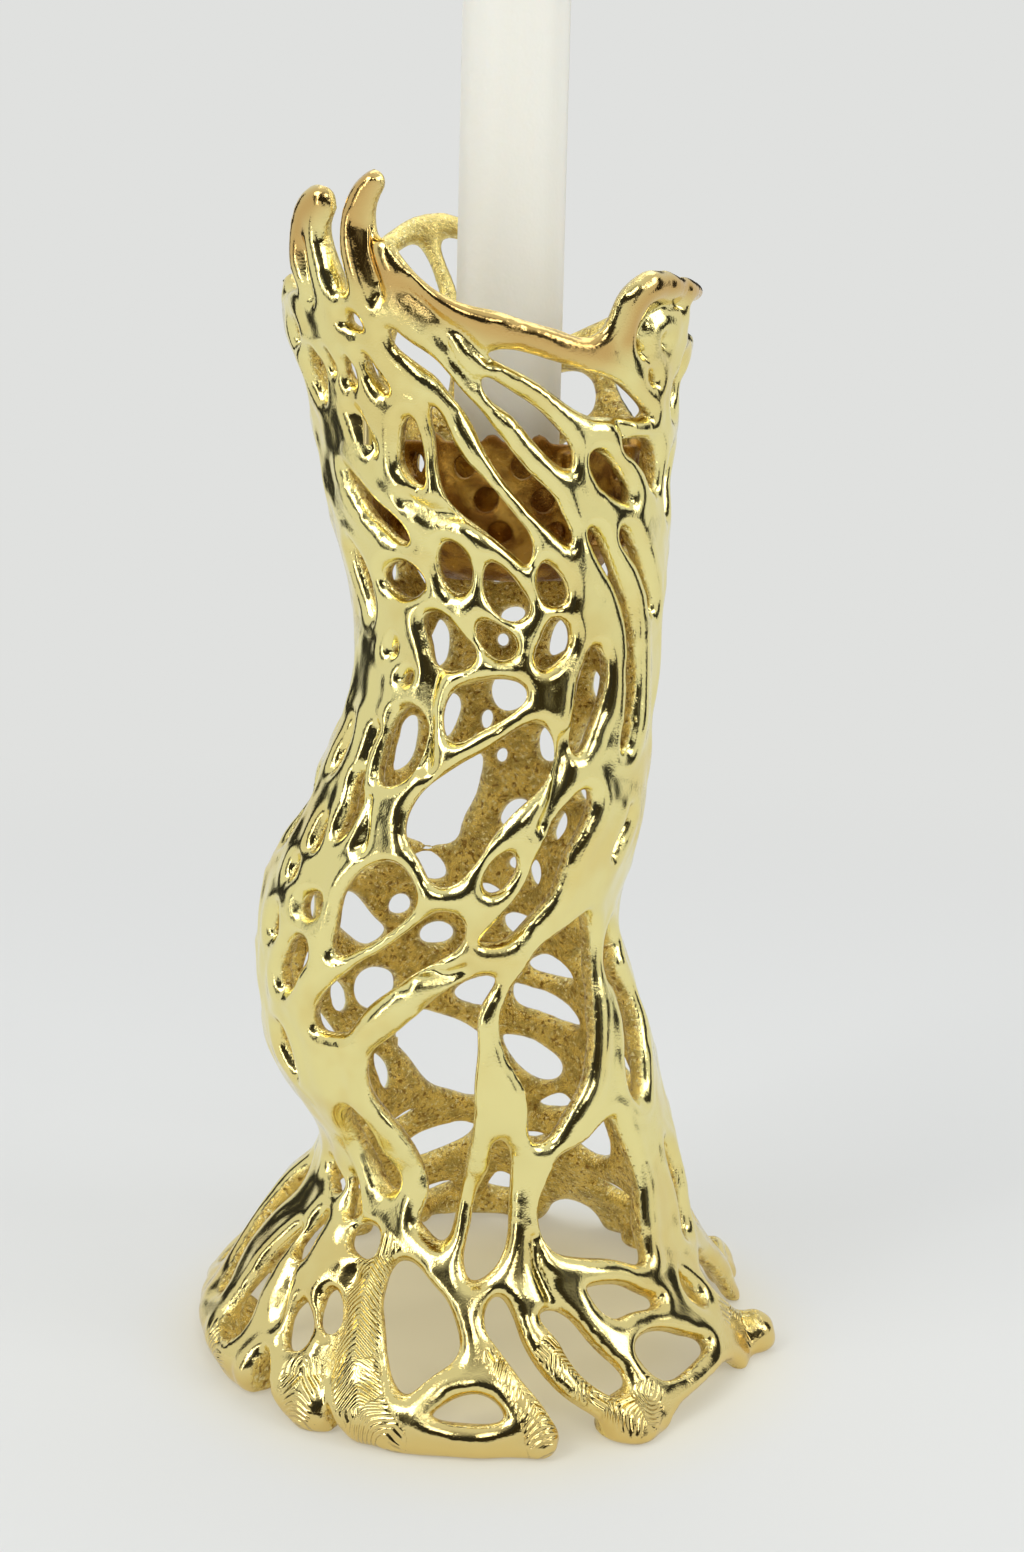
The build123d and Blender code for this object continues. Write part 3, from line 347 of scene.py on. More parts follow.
def cad_copy(name):
    """A copy of one CAD node's mesh with its loose triangles merged."""
    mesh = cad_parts[name].data.copy()
    shape = bmesh.new()
    shape.from_mesh(mesh)
    bmesh.ops.remove_doubles(shape, verts=shape.verts, dist=MERGE)
    shape.to_mesh(mesh)
    shape.free()
    mesh.materials.clear()
    for attribute in [a.name for a in mesh.attributes if a.name.startswith("custom_normal")]:
        mesh.attributes.remove(mesh.attributes[attribute])
    return mesh


def as_object(name, mesh):
    thing = bpy.data.objects.new(name, mesh)
    bpy.context.scene.collection.objects.link(thing)
    return thing


def remeshed(name, meshes, voxel):
    """The meshes joined and wrapped in one even skin."""
    joined = bmesh.new()
    for mesh in meshes:
        joined.from_mesh(mesh)
    whole = bpy.data.meshes.new(name)
    joined.to_mesh(whole)
    joined.free()
    thing = as_object(name, whole)
    skin = thing.modifiers.new("skin", "REMESH")
    skin.mode = "VOXEL"
    skin.voxel_size = voxel
    graph = bpy.context.evaluated_depsgraph_get()
    mesh = bpy.data.meshes.new_from_object(thing.evaluated_get(graph))
    bpy.data.objects.remove(thing)
    return mesh


def points_of(mesh):
    points = np.empty(len(mesh.vertices) * 3)
    mesh.vertices.foreach_get("co", points)
    return points.reshape(-1, 3)


def set_points(mesh, points):
    mesh.vertices.foreach_set("co", np.ascontiguousarray(points, dtype=np.float32).ravel())
    mesh.update()


def normals_of(mesh):
    normals = np.empty(len(mesh.vertices) * 3)
    mesh.vertex_normals.foreach_get("vector", normals)
    return normals.reshape(-1, 3)


def edges_of(mesh):
    edges = np.empty(len(mesh.edges) * 2, dtype=np.int64)
    mesh.edges.foreach_get("vertices", edges)
    return edges.reshape(-1, 2)


def averaged(values, edges, rounds):
    """Values spread over the mesh, each half way to the mean of its neighbours in every round."""
    count = np.bincount(edges.ravel(), minlength=len(values)).astype(float)
    count[count == 0] = 1
    flat = values.reshape(len(values), -1)
    for _ in range(rounds):
        columns = []
        for k in range(flat.shape[1]):
            near = np.bincount(edges[:, 0], flat[edges[:, 1], k], len(flat))
            near += np.bincount(edges[:, 1], flat[edges[:, 0], k], len(flat))
            columns.append(near / count)
        flat = flat + 0.5 * (np.stack(columns, 1) - flat)
    return flat.reshape(values.shape)


def keep_largest(mesh):
    """Drops every loose piece but the largest."""
    edges = edges_of(mesh)
    group = np.arange(len(mesh.vertices))
    while True:
        low = np.minimum(group[edges[:, 0]], group[edges[:, 1]])
        before = group.copy()
        np.minimum.at(group, edges[:, 0], low)
        np.minimum.at(group, edges[:, 1], low)
        group = group[group]
        if np.array_equal(before, group):
            break
    names, sizes = np.unique(group, return_counts=True)
    main = names[sizes.argmax()]
    shape = bmesh.new()
    shape.from_mesh(mesh)
    shape.verts.ensure_lookup_table()
    loose = [shape.verts[int(n)] for n in np.nonzero(group != main)[0]]
    bmesh.ops.delete(shape, geom=loose, context="VERTS")
    shape.to_mesh(mesh)
    shape.free()


def body_table():
    """The body's radius and shifts in metres, finely sampled up its height."""
    rows = np.array(BODY_SHARES)
    shares = np.linspace(rows[0, 0], rows[-1, 0], BODY_SAMPLES)
    slopes = np.gradient(rows[:, 1:], rows[:, 0], axis=0)
    n = np.clip(np.searchsorted(rows[:, 0], shares, side="right") - 1, 0, len(rows) - 2)
    span = rows[n + 1, 0] - rows[n, 0]
    u = ((shares - rows[n, 0]) / span)[:, None]
    span = span[:, None]
    values = (
        (2 * u ** 3 - 3 * u ** 2 + 1) * rows[n, 1:]
        + (u ** 3 - 2 * u ** 2 + u) * slopes[n] * span
        + (3 * u ** 2 - 2 * u ** 3) * rows[n + 1, 1:]
        + (u ** 3 - u ** 2) * slopes[n + 1] * span
    )
    return shares * HOLDER_HEIGHT, values * FOOT_RADIUS


def body_coordinates(points):
    """Turn in degrees, height and depth under the outer surface of each point."""
    heights, values = body_table()
    radius = np.interp(points[:, 2], heights, values[:, 0])
    right = points[:, 0] - np.interp(points[:, 2], heights, values[:, 1])
    back = points[:, 1] - np.interp(points[:, 2], heights, values[:, 2])
    turn = np.degrees(np.arctan2(right, -back))
    return turn, points[:, 2], radius - np.hypot(right, back)


def smooth_step(values, low, high):
    u = np.clip((values - low) / (high - low), 0, 1)
    return u * u * (3 - 2 * u)


def swell_noise(points, size):
    """A soft hand-worked waviness, the same each time."""
    dice = np.random.default_rng(WAVE_SEED)
    total = np.zeros(len(points))
    for _ in range(WAVE_COUNT):
        wave = dice.normal(size=3)
        wave = wave / np.linalg.norm(wave) * (2 * math.pi / size) * dice.uniform(*WAVE_SPREAD)
        total += np.sin(points @ wave + dice.uniform(0, 2 * math.pi))
    return total / math.sqrt(WAVE_COUNT)


def on_body(turns, shares):
    """Points on the body's outer surface, in metres."""
    heights, values = body_table()
    turns, levels = np.radians(turns), np.asarray(shares) * HOLDER_HEIGHT
    radius = np.interp(levels, heights, values[:, 0])
    return np.stack([
        np.interp(levels, heights, values[:, 1]) + radius * np.sin(turns),
        np.interp(levels, heights, values[:, 2]) - radius * np.cos(turns),
        levels,
    ], 1)


def line_points(shares):
    """Closely spaced points along a line drawn on the body."""
    turns, levels = zip(*shares)
    corners = on_body(turns, levels)
    lengths = np.r_[0, np.cumsum(np.linalg.norm(np.diff(corners, axis=0), axis=1))]
    along = np.arange(0, lengths[-1], LINE_STEP)
    return on_body(np.interp(along, lengths, turns), np.interp(along, lengths, levels))


def distance_to(points, targets):
    """The distance from each point to the nearest target."""
    tree = KDTree(len(targets))
    for n, target in enumerate(targets):
        tree.insert(target, n)
    tree.balance()
    return np.array([tree.find(point)[2] for point in points])


def away_from_axis(points):
    """Level directions from the swaying axis of the body to each point."""
    heights, values = body_table()
    away = points.copy()
    away[:, 0] -= np.interp(points[:, 2], heights, values[:, 1])
    away[:, 1] -= np.interp(points[:, 2], heights, values[:, 2])
    away[:, 2] = 0
    return away / np.maximum(np.linalg.norm(away, axis=1), TINY)[:, None]


def rounded_strands(mesh, settings):
    """Rounds the flat webs into strands: lower beside an opening or a valley, full in the middle."""
    points = points_of(mesh)
    away = away_from_axis(points)
    facing = (normals_of(mesh) * away).sum(1)
    depth = body_coordinates(points)[2]
    outer = np.nonzero((facing > OUTER_FACING) & (depth < OUTER_DEPTH))[0]
    walls = points[facing < WALL_FACING]
    gap = distance_to(points[outer], walls)
    share = np.clip(gap / settings.strand_reach, 0, 1)
    beyond = np.clip((gap - settings.strand_reach) / settings.strand_width, 0, MOST_WAVES)
    lowered = np.zeros(len(points))
    lowered[outer] = settings.strand_drop * (1 - np.sqrt(1 - (1 - share) ** 2))
    lowered[outer] += settings.valley_drop * np.sin(math.pi * beyond) ** 2
    for half_width, shares in VALLEY_SHARES:
        line = line_points(shares)
        low, high = line.min(0) - VALLEY_REACH, line.max(0) + VALLEY_REACH
        near = outer[((points[outer] > low) & (points[outer] < high)).all(1)]
        if len(near):
            gap = distance_to(points[near], line) / (half_width * MM)
            lowered[near] += settings.groove_drop * np.exp(-gap ** 2)
    lowered = averaged(np.minimum(lowered, DEEPEST_CUT), edges_of(mesh), SOFTENING)
    set_points(mesh, points - away * lowered[:, None])


def ridge_pattern(points):
    """Phase and strength of the herringbone on the ribs of the foot."""
    phase = np.zeros(len(points))
    strength = np.zeros(len(points))
    for half_width, shares in RIDGE_SHARES:
        line = on_body(*zip(*shares))
        full, none = (part * half_width * MM for part in RIDGE_FADE)
        along_before = 0.0
        best = np.full(len(points), np.inf)
        for start, end in zip(line[:-1], line[1:]):
            length = np.linalg.norm(end - start)
            direction = (end - start) / length
            along = np.clip((points - start) @ direction, 0, length)
            gap = points - (start + along[:, None] * direction)
            distance = np.linalg.norm(gap, axis=1)
            nearer = distance < best
            best = np.where(nearer, distance, best)
            side = np.linalg.norm(gap - (gap @ direction)[:, None] * direction, axis=1)
            chosen = nearer & (distance < none)
            phase = np.where(chosen, along_before + along - side * RIDGE_SLANT, phase)
            strength = np.where(chosen, 1 - smooth_step(distance, full, none), strength)
            along_before += length
    return phase, strength


def float_attribute(mesh, name, values):
    layer = mesh.attributes.new(name, "FLOAT", "POINT")
    layer.data.foreach_set("value", np.ascontiguousarray(values, dtype=np.float32))


def slice_between(mesh, name, low, high):
    """One closed slice of a mesh between two heights."""
    shape = bmesh.new()
    shape.from_mesh(mesh)
    capped = []
    for height, direction in ((low, -1), (high, 1)):
        if height is None:
            continue
        cut = bmesh.ops.bisect_plane(
            shape, geom=shape.verts[:] + shape.edges[:] + shape.faces[:], dist=TOUCH,
            plane_co=(0, 0, height), plane_no=(0, 0, direction), clear_outer=True,
        )
        rims = [e for e in cut["geom_cut"] if isinstance(e, bmesh.types.BMEdge)]
        filled = bmesh.ops.holes_fill(shape, edges=rims, sides=0)
        capped += filled["faces"]
    bmesh.ops.recalc_face_normals(shape, faces=shape.faces)
    for face in shape.faces:
        face.smooth = True
    for face in capped:
        if face.is_valid:
            face.smooth = False
            for edge in face.edges:
                edge.smooth = False
    bmesh.ops.triangulate(shape, faces=[f for f in capped if f.is_valid])
    made = bpy.data.meshes.new(name)
    shape.to_mesh(made)
    shape.free()
    return made


def finish_piece(name, mesh, material, body, nodes, sharp_angle=None):
    """Puts one finished mesh in the scene in place of its CAD nodes."""
    mesh.materials.clear()
    mesh.materials.append(material)
    thing = as_object(name, mesh)
    if sharp_angle is not None:
        mesh.shade_smooth()
        mesh.set_sharp_from_angle(angle=sharp_angle)
    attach(thing, body)
    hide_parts(*nodes)


# Sizes and colours

class HolderCastingSettings(bpy.types.PropertyGroup):
    voxel: bpy.props.FloatProperty(
        name="Skin grain", description="Size of the faces of the cast skin",
        default=0.0007, min=0.0004, unit="LENGTH", subtype="DISTANCE",
    )
    rounding: bpy.props.IntProperty(
        name="Rounding", description="How far the edges of the struts are rounded", default=26, min=0
    )
    swell: bpy.props.FloatProperty(
        name="Swell", description="How much metal is given back after rounding",
        default=0.00042, unit="LENGTH", subtype="DISTANCE",
    )
    strand_reach: bpy.props.FloatProperty(
        name="Strand reach", description="How far from an opening a strand reaches its full height",
        default=0.0026, unit="LENGTH", subtype="DISTANCE",
    )
    strand_width: bpy.props.FloatProperty(
        name="Strand width", description="Width of the strands that merge in a broad web",
        default=0.0060, unit="LENGTH", subtype="DISTANCE",
    )
    strand_drop: bpy.props.FloatProperty(
        name="Strand drop", description="How much lower a strand is beside an opening",
        default=0.0018, unit="LENGTH", subtype="DISTANCE",
    )
    valley_drop: bpy.props.FloatProperty(
        name="Valley drop", description="Depth of the soft valleys in a broad web",
        default=0.0005, unit="LENGTH", subtype="DISTANCE",
    )
    groove_drop: bpy.props.FloatProperty(
        name="Groove drop", description="Depth of the grooves between strands that run side by side",
        default=0.0026, unit="LENGTH", subtype="DISTANCE",
    )
    waviness: bpy.props.FloatProperty(
        name="Waviness", description="Depth of the hand-worked unevenness",
        default=0.00016, unit="LENGTH", subtype="DISTANCE",
    )


class HolderFinishSettings(bpy.types.PropertyGroup):
    gold: bpy.props.FloatVectorProperty(
        name="Polished gold", description="Colour of the polished outer faces",
        default=(0.92, 0.82, 0.36), size=3, subtype="COLOR",
    )
    amber: bpy.props.FloatVectorProperty(
        name="Rough amber", description="Colour of the unpolished inner faces",
        default=(1.0, 0.77, 0.22), size=3, subtype="COLOR",
    )
    rose: bpy.props.FloatVectorProperty(
        name="Rosy tips", description="Colour of the toes and the crown's rim",
        default=(0.70, 0.46, 0.16), size=3, subtype="COLOR",
    )
    wax: bpy.props.FloatVectorProperty(
        name="Wax", description="Colour of the candle",
        default=(0.80, 0.79, 0.71), size=3, subtype="COLOR",
    )
    polish: bpy.props.FloatProperty(
        name="Polish", description="Roughness of the polished faces",
        default=0.10, min=0, max=1, subtype="FACTOR",
    )


class HolderStageSettings(bpy.types.PropertyGroup):
    paper: bpy.props.FloatVectorProperty(
        name="Paper", description="Colour of the floor and the background",
        default=(0.745, 0.752, 0.738), size=3, subtype="COLOR",
    )
    room: bpy.props.FloatVectorProperty(
        name="Room", description="Colour of the room in front of the holder, which only shows in the metal",
        default=(0.03, 0.025, 0.015), size=3, subtype="COLOR",
    )
    key_power: bpy.props.FloatProperty(
        name="Light", description="Power that each soft light is a share of", default=2.25, unit="POWER"
    )


# Finishes

def gold_finish(settings):
    """Polished pale gold outside, rough amber inside with painted shade in its pits and painted glints,
    rosy at the tips.
    """
    finish = Finish("polished_brass")
    inner = finish.attribute("inner")
    rosy = finish.attribute("rosy")
    phase = finish.attribute("ridge_phase")
    ridged = finish.attribute("ridged")
    grain = finish.noise(scale=1050.0, detail=4.0, roughness=0.65)
    pores = finish.noise(scale=2600.0)
    dents = finish.noise(scale=110.0, detail=1.0)
    # Darker amber patches and dark spots are painted shade in the pits of the rough amber
    pit_shade_amber = tuple(PIT_SHADE_SHARE * part for part in settings.amber) + (1,)
    amber = finish.mix(finish.pattern("patches"), pit_shade_amber, tuple(settings.amber) + (1,))
    amber = finish.mix(finish.pattern("pit shade spots"), PAINTED_PIT_SHADE, amber)
    # Bright specks are painted glints of light on the rough amber
    amber = finish.mix(finish.pattern("painted glints"), amber, PAINTED_GLINT)
    stains = finish.pattern("stains") * STAIN_STRENGTH
    gold = finish.mix(stains, tuple(settings.gold) + (1,), STAIN)
    outer = finish.mix(rosy, gold, tuple(settings.rose) + (1,))
    colour = finish.mix(inner, outer, amber)
    roughness = settings.polish + inner * INNER_ROUGHNESS + (grain - 0.5) * GRAIN_ROUGHNESS
    turns = phase * (2 * math.pi / RIDGE_SPACING)
    stripes = finish.node("ShaderNodeMath", {"operation": "SINE"}, {0: turns})
    relief = finish.bump(stripes * ridged * finish.pattern("combing"), HERRINGBONE_DEPTH)
    relief = finish.bump(grain * inner, INNER_GRAIN_DEPTH, relief)
    relief = finish.bump(grain * finish.pattern("pits") * (1 - inner), PIT_DEPTH, relief)
    relief = finish.bump(pores, PORE_DEPTH, relief)
    relief = finish.bump(dents, DENT_DEPTH, relief)
    return finish.surface({
        "Base Color": colour, "Metallic": 1.0 - inner * INNER_DULLNESS, "Roughness": roughness,
        "Normal": relief,
    })


def cup_finish():
    """Deep amber, as it came from the mould."""
    finish = Finish("rough_brass")
    grain = finish.noise(scale=1300.0, detail=4.0, roughness=0.7)
    colour = finish.mix(finish.pattern("cup patches"), CUP_DARK, CUP_LIGHT)
    roughness = CUP_ROUGHNESS + (grain - 0.5) * CUP_GRAIN_ROUGHNESS
    return finish.surface({
        "Base Color": colour, "Metallic": 1.0, "Roughness": roughness,
        "Normal": finish.bump(grain, CUP_GRAIN_DEPTH),
    })


def plain_finish(name, colour, metallic, roughness):
    """One even colour all over."""
    inputs = {"Base Color": colour, "Metallic": metallic, "Roughness": roughness}
    return Finish(name).surface(inputs)


def wax_finish(settings):
    """Smooth ivory wax that lets a little light in."""
    finish = Finish("candle_wax")
    cloud = finish.noise(scale=60.0, detail=3.0) * CLOUD_STRENGTH
    grain = finish.noise(scale=420.0)
    colour = finish.mix(cloud, tuple(settings.wax) + (1,), WAX_CLOUD)
    return finish.surface({
        "Base Color": colour, "Roughness": 0.42, "Subsurface Weight": 0.35,
        "Subsurface Radius": (0.006, 0.005, 0.004), "Subsurface Scale": 1.0, "IOR": 1.44,
        "Normal": finish.bump(grain, WAX_GRAIN_DEPTH),
    })


# Geometry Nodes

def twisted_strands():
    """A tree that winds equal strands round an upright line."""
    group = bpy.data.node_groups.new("twisted_strands", "GeometryNodeTree")
    for name, kind in (
        ("Strands", "NodeSocketInt"), ("Turns", "NodeSocketFloat"), ("Twist radius", "NodeSocketFloat"),
        ("Strand radius", "NodeSocketFloat"), ("Height", "NodeSocketFloat"), ("Foot", "NodeSocketVector"),
        ("Finish", "NodeSocketMaterial"),
    ):
        group.interface.new_socket(name, in_out="INPUT", socket_type=kind)
    group.interface.new_socket("Geometry", in_out="OUTPUT", socket_type="NodeSocketGeometry")
    nodes = Nodes(group)
    given = nodes.node("NodeGroupInput")
    inputs = {socket.name: Value(nodes, socket) for socket in given.socket.node.outputs if socket.name}
    path = nodes.node("GeometryNodeCurveSpiral", None, {
        "Resolution": PATH_STEPS, "Rotations": inputs["Turns"], "Start Radius": inputs["Twist radius"],
        "End Radius": inputs["Twist radius"], "Height": inputs["Height"],
    })
    ring = nodes.node("GeometryNodeCurvePrimitiveCircle", None, {
        "Resolution": RING_STEPS, "Radius": inputs["Strand radius"],
    })
    strand = nodes.node("GeometryNodeCurveToMesh", None, {
        "Curve": path, "Profile Curve": ring, "Fill Caps": True,
    })
    starts = nodes.node("GeometryNodePoints", None, {
        "Count": inputs["Strands"], "Position": inputs["Foot"],
    })
    turn = nodes.node("GeometryNodeInputIndex") * (2 * math.pi / inputs["Strands"])
    around = nodes.node("ShaderNodeCombineXYZ", None, {"Z": turn})
    placed = nodes.node("GeometryNodeInstanceOnPoints", None, {
        "Points": starts, "Instance": strand, "Rotation": around,
    })
    real = nodes.node("GeometryNodeRealizeInstances", None, {"Geometry": placed})
    coloured = nodes.node("GeometryNodeSetMaterial", None, {
        "Geometry": real, "Material": inputs["Finish"],
    })
    nodes.node("NodeGroupOutput", None, {"Geometry": coloured})
    return group


def grown(name, group, values):
    """The plain mesh that a tree makes from the named values."""
    thing = as_object(name, bpy.data.meshes.new(name))
    maker = thing.modifiers.new("maker", "NODES")
    maker.node_group = group
    for socket in group.interface.items_tree:
        if socket.in_out == "INPUT":
            maker[socket.identifier] = values[socket.name]
    graph = bpy.context.evaluated_depsgraph_get()
    mesh = bpy.data.meshes.new_from_object(thing.evaluated_get(graph))
    thing.modifiers.clear()
    bpy.data.objects.remove(thing)
    if not mesh.polygons:
        raise RuntimeError("the tree for %s made no faces" % name)
    return mesh


# Pieces

class HOLDER_OT_castings(bpy.types.Operator):
    """Round the lattice castings as one skin and part them again at their joints."""

    bl_idname = "holder.castings"
    bl_label = "Lattice castings"

    def execute(self, context):
        settings = context.scene.holder_casting
        mesh = remeshed("lattice", [cad_copy(name) for name in CASTINGS], settings.voxel)
        keep_largest(mesh)
        edges = edges_of(mesh)
        points = averaged(points_of(mesh), edges, settings.rounding)
        set_points(mesh, points)
        rounded_strands(mesh, settings)
        points = averaged(points_of(mesh), edges, SOFTENING)
        normals = averaged(normals_of(mesh), edges, SOFTENING)
        wave = swell_noise(points, CASTING_WAVE) * settings.waviness
        points = points + normals * (settings.swell + wave)[:, None]
        boxes = [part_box(name) for name in CASTINGS]
        low = np.min([corner for corner, _ in boxes], axis=0)
        high = np.max([corner for _, corner in boxes], axis=0)
        set_points(mesh, np.clip(points, low, high))
        material = gold_finish(context.scene.holder_finish)
        levels = [None] + [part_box(name)[0].z for name in CASTINGS[1:]] + [None]
        for name, low, high in zip(CASTINGS, levels[:-1], levels[1:]):
            piece = slice_between(mesh, name, low, high)
            self.paint(piece)
            finish_piece(name + "_dressed", piece, material, HOLDER, [name])
        return {"FINISHED"}

    @staticmethod
    def paint(mesh):
        """Where the metal is rough, rosy or ridged; the rough amber on lips beside the openings and in deep
        valleys is partly painted shade.
        """
        points = points_of(mesh)
        _, height, depth = body_coordinates(points)
        facing = (normals_of(mesh) * away_from_axis(points)).sum(1)
        # Rough amber on inward faces, on lips beside the openings and in deep valleys, the last two partly
        # painted shade
        inner = np.maximum(smooth_step(-facing, *INNER_LOOK), smooth_step(depth, *INNER_DEPTH))
        inner = inner * (1 - CROWN_LOSS * smooth_step(height, *CROWN_HEIGHT))
        toes = 1 - smooth_step(height, *TOE_HEIGHT)
        skirt = 1 - smooth_step(height, *SKIRT_HEIGHT)
        rosy = np.maximum(toes * TOE_ROSE, skirt * SKIRT_ROSE)
        for half_width, shares in ROSY_SHARES:
            lowest = min(share for _, share in shares) * HOLDER_HEIGHT
            near = np.nonzero(height > ROSE_SEARCH * lowest)[0]
            if len(near):
                gap = distance_to(points[near], line_points(shares)) / (half_width * MM)
                rosy[near] = np.maximum(rosy[near], np.exp(-gap ** 2))
        phase, ridged = ridge_pattern(points)
        float_attribute(mesh, "inner", inner)
        float_attribute(mesh, "rosy", rosy)
        float_attribute(mesh, "ridge_phase", phase)
        float_attribute(mesh, "ridged", ridged * smooth_step(facing, *RIDGE_LOOK))


class HOLDER_OT_cup(bpy.types.Operator):
    """Round the pierced cup and finish the candle's tube inside it."""

    bl_idname = "holder.cup"
    bl_label = "Candle cup"

    def execute(self, context):
        finish = cup_finish()
        mesh = remeshed("cup", [cad_copy("candle_cup")], CUP_VOXEL)
        points = averaged(points_of(mesh), edges_of(mesh), CUP_ROUNDING)
        set_points(mesh, points)
        swell = CUP_SWELL + swell_noise(points, CUP_WAVE) * CUP_WAVINESS
        set_points(mesh, points + normals_of(mesh) * swell[:, None])
        mesh.shade_smooth()
        finish_piece("candle_cup_dressed", mesh, finish, HOLDER, ["candle_cup"])
        tube = cad_copy("candle_socket")
        finish_piece(
            "candle_socket_dressed", tube, finish, HOLDER, ["candle_socket"], SHARP_BEND
        )
        return {"FINISHED"}


class HOLDER_OT_pins(bpy.types.Operator):
    """Finish the hidden pins that join the castings."""

    bl_idname = "holder.pins"
    bl_label = "Joint pins"

    def execute(self, context):
        finish = plain_finish("pin_brass", PIN_BRASS, metallic=1.0, roughness=0.35)
        for name in JOINT_PINS:
            finish_piece(
                name + "_dressed", cad_copy(name), finish, HOLDER, [name], SHARP_BEND
            )
        return {"FINISHED"}


class HOLDER_OT_candle(bpy.types.Operator):
    """Finish the candle and its wick."""

    bl_idname = "holder.candle"
    bl_label = "Candle and wick"

    def execute(self, context):
        wax = wax_finish(context.scene.holder_finish)
        finish_piece(
            "candle_dressed", cad_copy("candle"), wax, CANDLE, ["candle"], SHARP_BEND
        )
        cotton = plain_finish("wick_cotton", COTTON, metallic=0.0, roughness=0.9)
        low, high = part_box("wick")
        width = high.x - low.x
        foot = ((low.x + high.x) / 2, (low.y + high.y) / 2, low.z + END_SHARE * width)
        strands = grown("wick", twisted_strands(), {
            "Strands": WICK_STRANDS, "Turns": WICK_TURNS, "Twist radius": TWIST_SHARE * width,
            "Strand radius": STRAND_SHARE * width, "Height": high.z - low.z - 2 * END_SHARE * width,
            "Foot": foot, "Finish": cotton,
        })
        finish_piece("wick_dressed", strands, cotton, CANDLE, ["wick"], WICK_BEND)
        return {"FINISHED"}


# The stage in metres: the point that lights and cards face, and half the floor's width
TARGET = (0, 0, 0.12)
FLOOR_REACH = 6

# The floor, from the middle outwards: where its painted warm light from the gold fades, where flat paper
# takes over, its least share
GOLD_BOUNCE_EDGES = (0.03, 0.08)
FLAT_EDGES = (0.16, 0.75)
FLAT_SHARE = 0.4

# How directly a reflection looks to the front before it shows the dark room, and the strength of the fill
ROOM_EDGES = (0.36, 0.88)
FILL_STRENGTH = 0.60

# Soft lights: name, place, the point it faces, width, height, and its share of the panel's light power
LIGHTS = (
    ("strip_left", (-0.62, -0.60, 0.30), TARGET, 0.07, 0.9, 0.45),
    ("strip_right", (0.70, -0.62, 0.30), TARGET, 0.07, 0.9, 0.45),
    ("front", (0.25, -1.1, 0.95), TARGET, 0.5, 0.4, 0.9),
    ("key", (-0.75, -0.55, 1.05), TARGET, 0.6, 0.6, 2.2),
    ("side", (0.95, -0.35, 0.75), TARGET, 0.4, 0.7, 1.2),
    ("top", (0.1, 0.5, 1.3), (0, 0, 0.1), 1.0, 0.8, 1.4),
)

# Dark cards round the holder: degrees round from the front, degrees up, distance, width and height
DARK_CARDS = (
    (-12, 10, 0.80, 0.20, 0.55),
    (46, 4, 0.80, 0.16, 0.70),
    (-66, 8, 0.80, 0.14, 0.80),
    (100, 8, 0.80, 0.30, 0.80),
    (-125, 10, 0.80, 0.26, 0.70),
    (160, 22, 0.90, 0.30, 0.30),
)

# The photograph's height and focal length in pixels, and the sensor in millimetres that stands for it
PHOTO_HEIGHT = 1552.0
FOCAL_PIXELS = 1850.0
SENSOR = 36.0

# The camera's place and reach in metres, and its angles in degrees
CAMERA_PLACE = (0, -0.380, 0.190)
CAMERA_PITCH = 10.164
CAMERA_YAW = 0.476
CAMERA_ROLL = 1.44
NEAREST = 0.01
FARTHEST = 50.0


def area_light(name, place, target, width, height, power):
    light = bpy.data.lights.new(name, "AREA")
    light.shape = "RECTANGLE"
    light.size = width
    light.size_y = height
    light.energy = power
    thing = bpy.data.objects.new(name, light)
    bpy.context.scene.collection.objects.link(thing)
    thing.location = place
    thing.rotation_euler = (Vector(target) - Vector(place)).to_track_quat("-Z", "Y").to_euler()


def card(name, place, width, height, material):
    """A flat card that stands in the studio and faces the holder."""
    mesh = bpy.data.meshes.new(name)
    w, h = width / 2, height / 2
    mesh.from_pydata([(-w, -h, 0), (w, -h, 0), (w, h, 0), (-w, h, 0)], [], [(0, 1, 2, 3)])
    mesh.materials.append(material)
    turn = (Vector(TARGET) - Vector(place)).to_track_quat("Z", "Y").to_matrix().to_4x4()
    mesh.transform(Matrix.Translation(place) @ turn)
    thing = as_object(name, mesh)
    thing.visible_camera = False
    thing.visible_diffuse = False
    thing.visible_shadow = False


